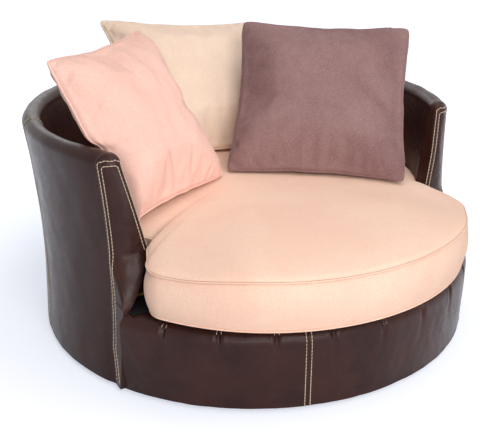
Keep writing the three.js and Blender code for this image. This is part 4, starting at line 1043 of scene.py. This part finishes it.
def build_cushion():
    bulge = CUSHION_ROUND
    rings = []
    low = cushion_level(CUSHION_BOTTOM, bulge * 2.2)
    for scale in (0.3, 0.6, 0.8, 0.9, 0.97):
        rings.append(raised(low * scale, CUSHION_BOTTOM))
    for share in np.linspace(0.0, 1.0, 22):
        z = lerp(CUSHION_BOTTOM + 1.0, CUSHION_WELT - 1.0, share)
        swell = 1.0 - (2.0 * share - 1.05) ** 2
        inset = bulge * 1.3 * (1.0 - swell) + bulge * 0.4
        inset += 2.0 * bump(share, 0.03) + 1.8 * bump(share - 1.0, 0.03)
        rings.append(raised(cushion_level(z, inset), z))
    top = cushion_level(CUSHION_WELT, bulge * 0.9)
    for scale in np.concatenate([np.linspace(0.997, 0.9, 16), np.linspace(0.885, 0.05, 40)]):
        rings.append(raised(top * scale, CUSHION_WELT + CUSHION_CROWN * crown(scale)))
    points, faces = stack(rings, (0.0, 0.0, CUSHION_BOTTOM), (0.0, 0.0, CUSHION_WELT + CUSHION_CROWN))
    up = points[:, 2] > CUSHION_WELT + 6.0
    far = np.hypot(points[:, 0], points[:, 1]) / CUSHION_FRONT
    points[up, 2] += (1.6 * waves(points[up, :2], 300.0, 3, 3) - 1.2) * (1.0 - far[up] ** 4)
    boxing = (points[:, 2] > CUSHION_BOTTOM + 4.0) & ~up
    out = points[boxing, :2] / np.linalg.norm(points[boxing, :2], axis=1)[:, None]
    place = points[boxing] * np.array([1.0, 1.0, 0.5])
    fade = np.sin(math.pi * np.clip((points[boxing, 2] - CUSHION_BOTTOM) / CUSHION_THICKNESS, 0, 1))
    points[boxing, :2] += out * (1.6 * waves(place, 130.0, 8, 3) * fade)[:, None]
    solid = settle_cushion(points), faces
    piece = make_object("seat_cushion_cover", solid, "seat_cushion", "seat_fabric", sharp=80.0)
    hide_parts("seat_cushion")
    parts = []
    for z, inset in ((CUSHION_WELT, bulge * 0.9), (CUSHION_BOTTOM + 3.0, bulge * 1.7)):
        path = settle_cushion(raised(cushion_level(z, inset), z))
        parts.append(tube(resample(path, 6.0, closed=True), WELT_RADIUS))
    make_object("seat_cushion_welt", join(parts), "seat_cushion", "seat_fabric")


def build_deck():
    """The deck's cloth, with a small flap before each arm that closes the gap beside the cushion."""
    level = seat_outline(DECK_FRONT, 0.0, DECK_CORNER_RADIUS, DECK_CORNER_ANGLE, DECK_CORNER_TURN,
                         DECK_WING, DECK_BOTTOM)
    rings = [raised(level * scale, DECK_BOTTOM) for scale in (0.4, 0.8, 0.995)]
    rings += [raised(level * 0.998, lerp(DECK_BOTTOM, DECK_TOP, share)) for share in (0.15, 0.5, 0.85)]
    rings += [raised(level * scale, DECK_TOP) for scale in (0.993, 0.97, 0.9, 0.7, 0.4, 0.15)]
    parts = [stack(rings, (0.0, 0.0, DECK_BOTTOM), (0.0, 0.0, DECK_TOP))]
    strip = strip_inner(np.array([DECK_BOTTOM]))[0] - GAP
    for side in (-1.0, 1.0):
        corners = np.array([[strip, -BORDER_END - 20.0], [DECK_WING[0] + 1.0, DECK_WING[1] + 3.0],
                            [strip, -222.0], [DECK_WING[0] - 6.0, -236.0]]) * np.array([side, 1.0])
        parts.append(slab(*(raised(corners, DECK_BOTTOM + up).reshape(2, 2, 3) for up in (0.4, 2.0))))
    piece = make_object("deck_cloth", join(parts), "chair_body", "dark_cloth")
    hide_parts("deck_pad")


# ---- pillows

PILLOW_THICKNESS = 150.0
PILLOW_EDGE = 7.0
PILLOW_GAP = 2.0
PIPING_RADIUS = 3.4
PILLOW_DRAW = 0.07
PILLOW_CELLS = 76
BLOW_REACH = 26.0
BLOW_FADE = 60.0
# Over which length a pillow bends before the wall, the cushion and the pillow in front of it.
WALL_BAND = 55.0
CUSHION_BAND = 16.0
BEHIND_BAND = 26.0
SLACK_FILL = 0.7


def fullness(u, v):
    """Share of a pillow's thickness at shares across and up it."""
    a, b = 2.0 * u - 1.0, 2.0 * v - 1.0
    return np.sqrt(np.clip((1.0 - a ** 4) * (1.0 - b ** 4), 0.0, 1.0))


class Pillow:
    """Where a pillow lies: its foot's middle, how it turns, leans, rolls and skews, in degrees."""

    def __init__(self, name, side, foot, angles, skew, body, slot, seed, corners=()):
        self.name, self.side, self.corners = name, side, corners
        self.body, self.slot, self.seed = body, slot, seed
        turn, lean, roll = (math.radians(a) for a in angles)
        across = np.array([math.cos(turn), math.sin(turn), 0.0])
        rise = np.array([-math.sin(lean) * math.sin(turn), math.sin(lean) * math.cos(turn), math.cos(lean)])
        normal = np.cross(across, rise)
        across, rise = (v * math.cos(roll) + np.cross(normal, v) * math.sin(roll) for v in (across, rise))
        rise = rise + across * skew
        self.corner = np.array([*foot, CUSHION_WELT + CUSHION_CROWN - 3.0]) - across * side / 2.0
        self.axes = np.stack([across * side, rise * side, normal])

    def world(self, local):
        """From shares across and up the pillow, and millimetres off its middle plane."""
        return self.corner + local @ self.axes

    def local(self, points):
        return (points - self.corner) @ np.linalg.inv(self.axes)

    def pulled(self, points, u, v):
        """Moves the corners that are pushed or tugged out of the pillow's plain square."""
        for (at_u, at_v), away in self.corners:
            share = (1.0 - np.abs(u - at_u)) ** 2 * (1.0 - np.abs(v - at_v)) ** 2
            points = points + share[:, None] * np.array(away)
        return points


def pillow_grid(n, seed, fill=1.0):
    """Local points of the front and back face, both (n + 1, n + 1, 3)."""
    t = 0.5 - 0.5 * np.cos(np.linspace(0.0, math.pi, n + 1))
    t = lerp(np.linspace(0.0, 1.0, n + 1), t, 0.55)
    u, v = np.meshgrid(t, t, indexing="ij")
    a, b = 2.0 * u - 1.0, 2.0 * v - 1.0
    flat = np.stack([u, v], -1) * 500.0
    blunt = 0.035 * np.abs(a * b) ** 12
    wander = 0.005 * waves(flat, 110.0, seed + 3, 2)
    pu = 0.5 + a / 2.0 * (1.0 - PILLOW_DRAW * (1.0 - b * b) * np.abs(a) - blunt + wander)
    pv = 0.5 + b / 2.0 * (1.0 - PILLOW_DRAW * (1.0 - a * a) * np.abs(b) - blunt + wander)
    half = fill * PILLOW_THICKNESS * fullness(u, v) / 2.0
    edge = np.minimum(1.0 - np.abs(a), 1.0 - np.abs(b))
    along = np.where(np.abs(a) > np.abs(b), b, a) * 500.0
    faces = []
    for face in (1.0, -1.0):
        crease = waves(flat, 150.0, seed + int(face), 3) * 2.2 * np.clip(edge * 6.0, 0.0, 1.0)
        pucker = np.sin(along / 13.0 + 2.0 * waves(flat, 120.0, seed + 7, 2)) * 1.1 * bump(edge - 0.05, 0.05)
        w = face * (half + (crease + pucker) * np.clip(edge * 40.0, 0.0, 1.0))
        faces.append(np.stack([pu, pv, w], -1))
    return faces


def pillow_faces(n):
    """Each face's point numbers, where the back face shares the front's rim, and their quads."""
    index = np.arange(2 * (n + 1) ** 2).reshape(2, n + 1, n + 1)
    for rim in ((0, slice(None)), (n, slice(None)), (slice(None), 0), (slice(None), n)):
        index[(1, *rim)] = index[(0, *rim)]
    quads = [
        (index[k, i, j], index[k, i + 1, j], index[k, i + 1, j + 1], index[k, i, j + 1])[:: 1 - 2 * k]
        for k in range(2) for i in range(n) for j in range(n)
    ]
    return index, quads


def pressed(value, limit, band):
    """The value, bent over the last band before its limit, so that it never passes it."""
    start = limit - band
    over = np.maximum(value - start, 0.0)
    return np.where(value > start, start + band * (1.0 - np.exp(-over / band)), value)


def settle_in_barrel(points):
    """Presses points that would lie in the wall back inside it, the nearest ones least."""
    x, y, z = points.T
    center = rake(np.clip(z, HEM_HEIGHT, RIM_HEIGHT))
    r = np.hypot(x, y - center)
    up = np.clip(z - ROLL_Z, 0.0, ROLL_RADIUS)
    over = CROWN_RADIUS - np.sqrt(np.maximum(ROLL_RADIUS ** 2 - up ** 2, 0.0))
    limit = np.where(z > ROLL_Z, over, inner_radius(z)) - 6.0
    limit += 200.0 * smoothstep(z, RIM_HEIGHT - 4.0, RIM_HEIGHT + 60.0)
    share = pressed(r, limit, WALL_BAND) / np.maximum(r, 1.0)
    return np.stack([x * share, center + (y - center) * share, z], -1)


def cushion_top(x, y):
    """Height of the seat cushion's crowned top."""
    level = cushion_level(CUSHION_WELT, CUSHION_ROUND)
    edge_angle = np.arctan2(level[:, 0], -level[:, 1])
    order = np.argsort(edge_angle)
    edge = np.interp(np.arctan2(x, -y), edge_angle[order], np.hypot(*level[order].T), period=TAU)
    return CUSHION_WELT + CUSHION_CROWN * crown(np.clip(np.hypot(x, y) / edge, 0.0, 1.0))


def settle_on_cushion(points, share_up):
    """Lets the lower edge sag onto the cushion, and keeps everything above it."""
    top = cushion_top(points[:, 0], points[:, 1]) + 1.5
    loose = np.clip(1.0 - share_up / 0.3, 0.0, 1.0) ** 2
    lowest = points[:, 2] - loose * np.maximum(CUSHION_WELT + CUSHION_CROWN - top, 0.0) * 0.85
    return np.column_stack([points[:, :2], -pressed(-lowest, -top, CUSHION_BAND)])


def settle_behind(points, front):
    """Presses points back behind the pillow in front of them."""
    local = front.local(points)
    u, v, w = local.T
    edge = np.minimum(np.minimum(u, 1.0 - u), np.minimum(v, 1.0 - v))
    full = fullness(np.clip(u, 0.0, 1.0), np.clip(v, 0.0, 1.0))
    back = -lerp(PILLOW_EDGE, PILLOW_THICKNESS, full) / 2.0 - PILLOW_GAP
    inside = (w < -back) & (edge > -0.06)
    near = smoothstep(edge, -0.06, 0.05)
    local[:, 2] = np.where(inside, lerp(w, pressed(w, back, BEHIND_BAND), near), w)
    return front.world(local)


def inflate(points, faces, held, reach, pressure=4.0, spare=0.035, frames=20):
    """Blows a closed cover up with the cloth solver; each point moves its reach at most."""
    mesh = bpy.data.meshes.new("blown")
    mesh.from_pydata((points * MM).tolist(), [], faces)
    thing = add_object("blown", mesh)
    group = thing.vertex_groups.new(name="held")
    group.add(held, 1.0, "REPLACE")
    cloth = thing.modifiers.new("cloth", "CLOTH")
    cloth.point_cache.frame_start = 1
    cloth.point_cache.frame_end = frames
    settings = cloth.settings
    settings.quality = 5
    settings.mass = 0.3
    settings.bending_stiffness = 0.5
    settings.use_pressure = True
    settings.uniform_pressure_force = pressure
    settings.shrink_min = -spare
    settings.effector_weights.gravity = 0.0
    settings.vertex_group_mass = "held"
    for number in range(1, frames + 1):
        bpy.context.scene.frame_set(number)
    blown = thing.evaluated_get(bpy.context.evaluated_depsgraph_get()).to_mesh()
    moved = np.array([vertex.co[:] for vertex in blown.vertices]) / MM - points
    bpy.data.objects.remove(thing)
    bpy.context.scene.frame_set(1)
    length = np.linalg.norm(moved, axis=1)
    return points + moved * np.minimum(1.0, reach / np.maximum(length, 1e-6))[:, None]


def blow_up(front, back, side):
    """The cloth solver's shape of a pillow whose faces are given in shares of its side."""
    n = front.shape[0] - 1
    scale = np.array([side, side, 1.0])
    points = np.concatenate([front.reshape(-1, 3), back.reshape(-1, 3)]) * scale
    index, quads = pillow_faces(n)
    points[index[0][0]] *= np.array([1.0, 1.0, 0.0])
    used = np.unique(index)
    order = np.full(len(points), -1)
    order[used] = np.arange(len(used))
    faces = [tuple(int(order[v]) for v in quad) for quad in quads]
    away = np.minimum(np.arange(n + 1), n - np.arange(n + 1)) * side / n
    away = np.minimum(away[:, None], away[None, :]).ravel()
    away = np.concatenate([away, away])[used]
    held = np.nonzero(away == 0)[0].tolist()
    blown = inflate(points[used], faces, held, BLOW_REACH * smoothstep(away, 0.0, BLOW_FADE))
    return (blown / scale)[order[index]]


def build_pillow(pillow, fronts, n=PILLOW_CELLS):
    faces = blow_up(*pillow_grid(n, pillow.seed, SLACK_FILL), np.linalg.norm(pillow.axes[0]))
    settled = []
    for local in faces:
        flat = local.reshape(-1, 3)
        shares = np.clip(flat[:, :2], 0.0, 1.0)
        points = pillow.pulled(pillow.world(flat), shares[:, 0], shares[:, 1])
        for other in fronts:
            points = settle_behind(points, other)
        points = settle_on_cushion(points, flat[:, 1])
        settled.append(settle_in_barrel(points).reshape(n + 1, n + 1, 3))
    front, back = settled
    rim = [(i, 0) for i in range(n)] + [(n, j) for j in range(n)]
    rim += [(i, n) for i in range(n, 0, -1)] + [(0, j) for j in range(n, 0, -1)]
    for i, j in rim:
        back[i, j] = front[i, j] = (front[i, j] + back[i, j]) / 2.0
    points = np.concatenate([front.reshape(-1, 3), back.reshape(-1, 3)])
    _, quads = pillow_faces(n)
    piece = make_object(f"{pillow.name}_cover", (points, quads), pillow.body, pillow.slot, sharp=180.0)
    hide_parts(pillow.name)
    path = resample([front[i, j] for i, j in rim], 5.0, closed=True)
    make_object(f"{pillow.name}_piping", tube(path, PIPING_RADIUS, sides=10), pillow.body, pillow.slot)


def build_pillows():
    """The front pillows come first, because each next one is pressed back behind them."""
    right = Pillow("pillow_right", 497.0, (115.0, -148.0), (-33.7, 43.3, -1.8), 0.0,
                   "right_pillow", "pillow_mauve", 41)
    left = Pillow("pillow_left", 458.0, (-297.0, -148.0), (32.3, 36.1, 0.8), 0.173,
                  "left_pillow", "pillow_pink", 52,
                  corners=(((0, 0), (25.0, 85.0, 22.0)), ((1, 1), (-42.0, 0.0, 4.0))))
    back = Pillow("pillow_back", 490.0, (10.0, 165.0), (-3.8, 48.7, -2.4), 0.0,
                  "back_pillow", "pillow_cream", 63, corners=(((0, 1), (-52.0, 0.0, 30.0)),))
    build_pillow(right, [])
    build_pillow(left, [right])
    build_pillow(back, [right, left])


DUST_RING_INNER = 346.0


def build_dust_cloth():
    """Black cloth under the frame, stretched over the bottom ring."""
    _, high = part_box("dust_cover")
    outer = high.x / MM
    inner = DUST_RING_INNER
    radius = np.linspace(inner, outer - 0.3, 16)
    angle = np.linspace(0.0, TAU, 181)[:-1]
    share = (radius - inner) / (outer - inner)
    grid_r, grid_a = np.meshgrid(radius, angle, indexing="ij")
    z = high.z / MM - 0.5 - 0.5 * (1.0 - share[:, None]) * (1.0 + 0.4 * np.cos(grid_a * 24.0))
    front = around(grid_r, z, grid_a, raked=False)
    back = front - np.array([0.0, 0.0, 0.6])
    piece = make_object("dust_cloth", slab(front, back, closed=True), "chair_body", "dark_cloth")
    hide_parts("dust_cover")


build_camera()
build_light()
build_floor()
dress_nodes()
build_barrel()
build_border()
build_panel(1.0)
build_panel(-1.0)
build_cushion()
build_deck()
build_pillows()
build_dust_cloth()
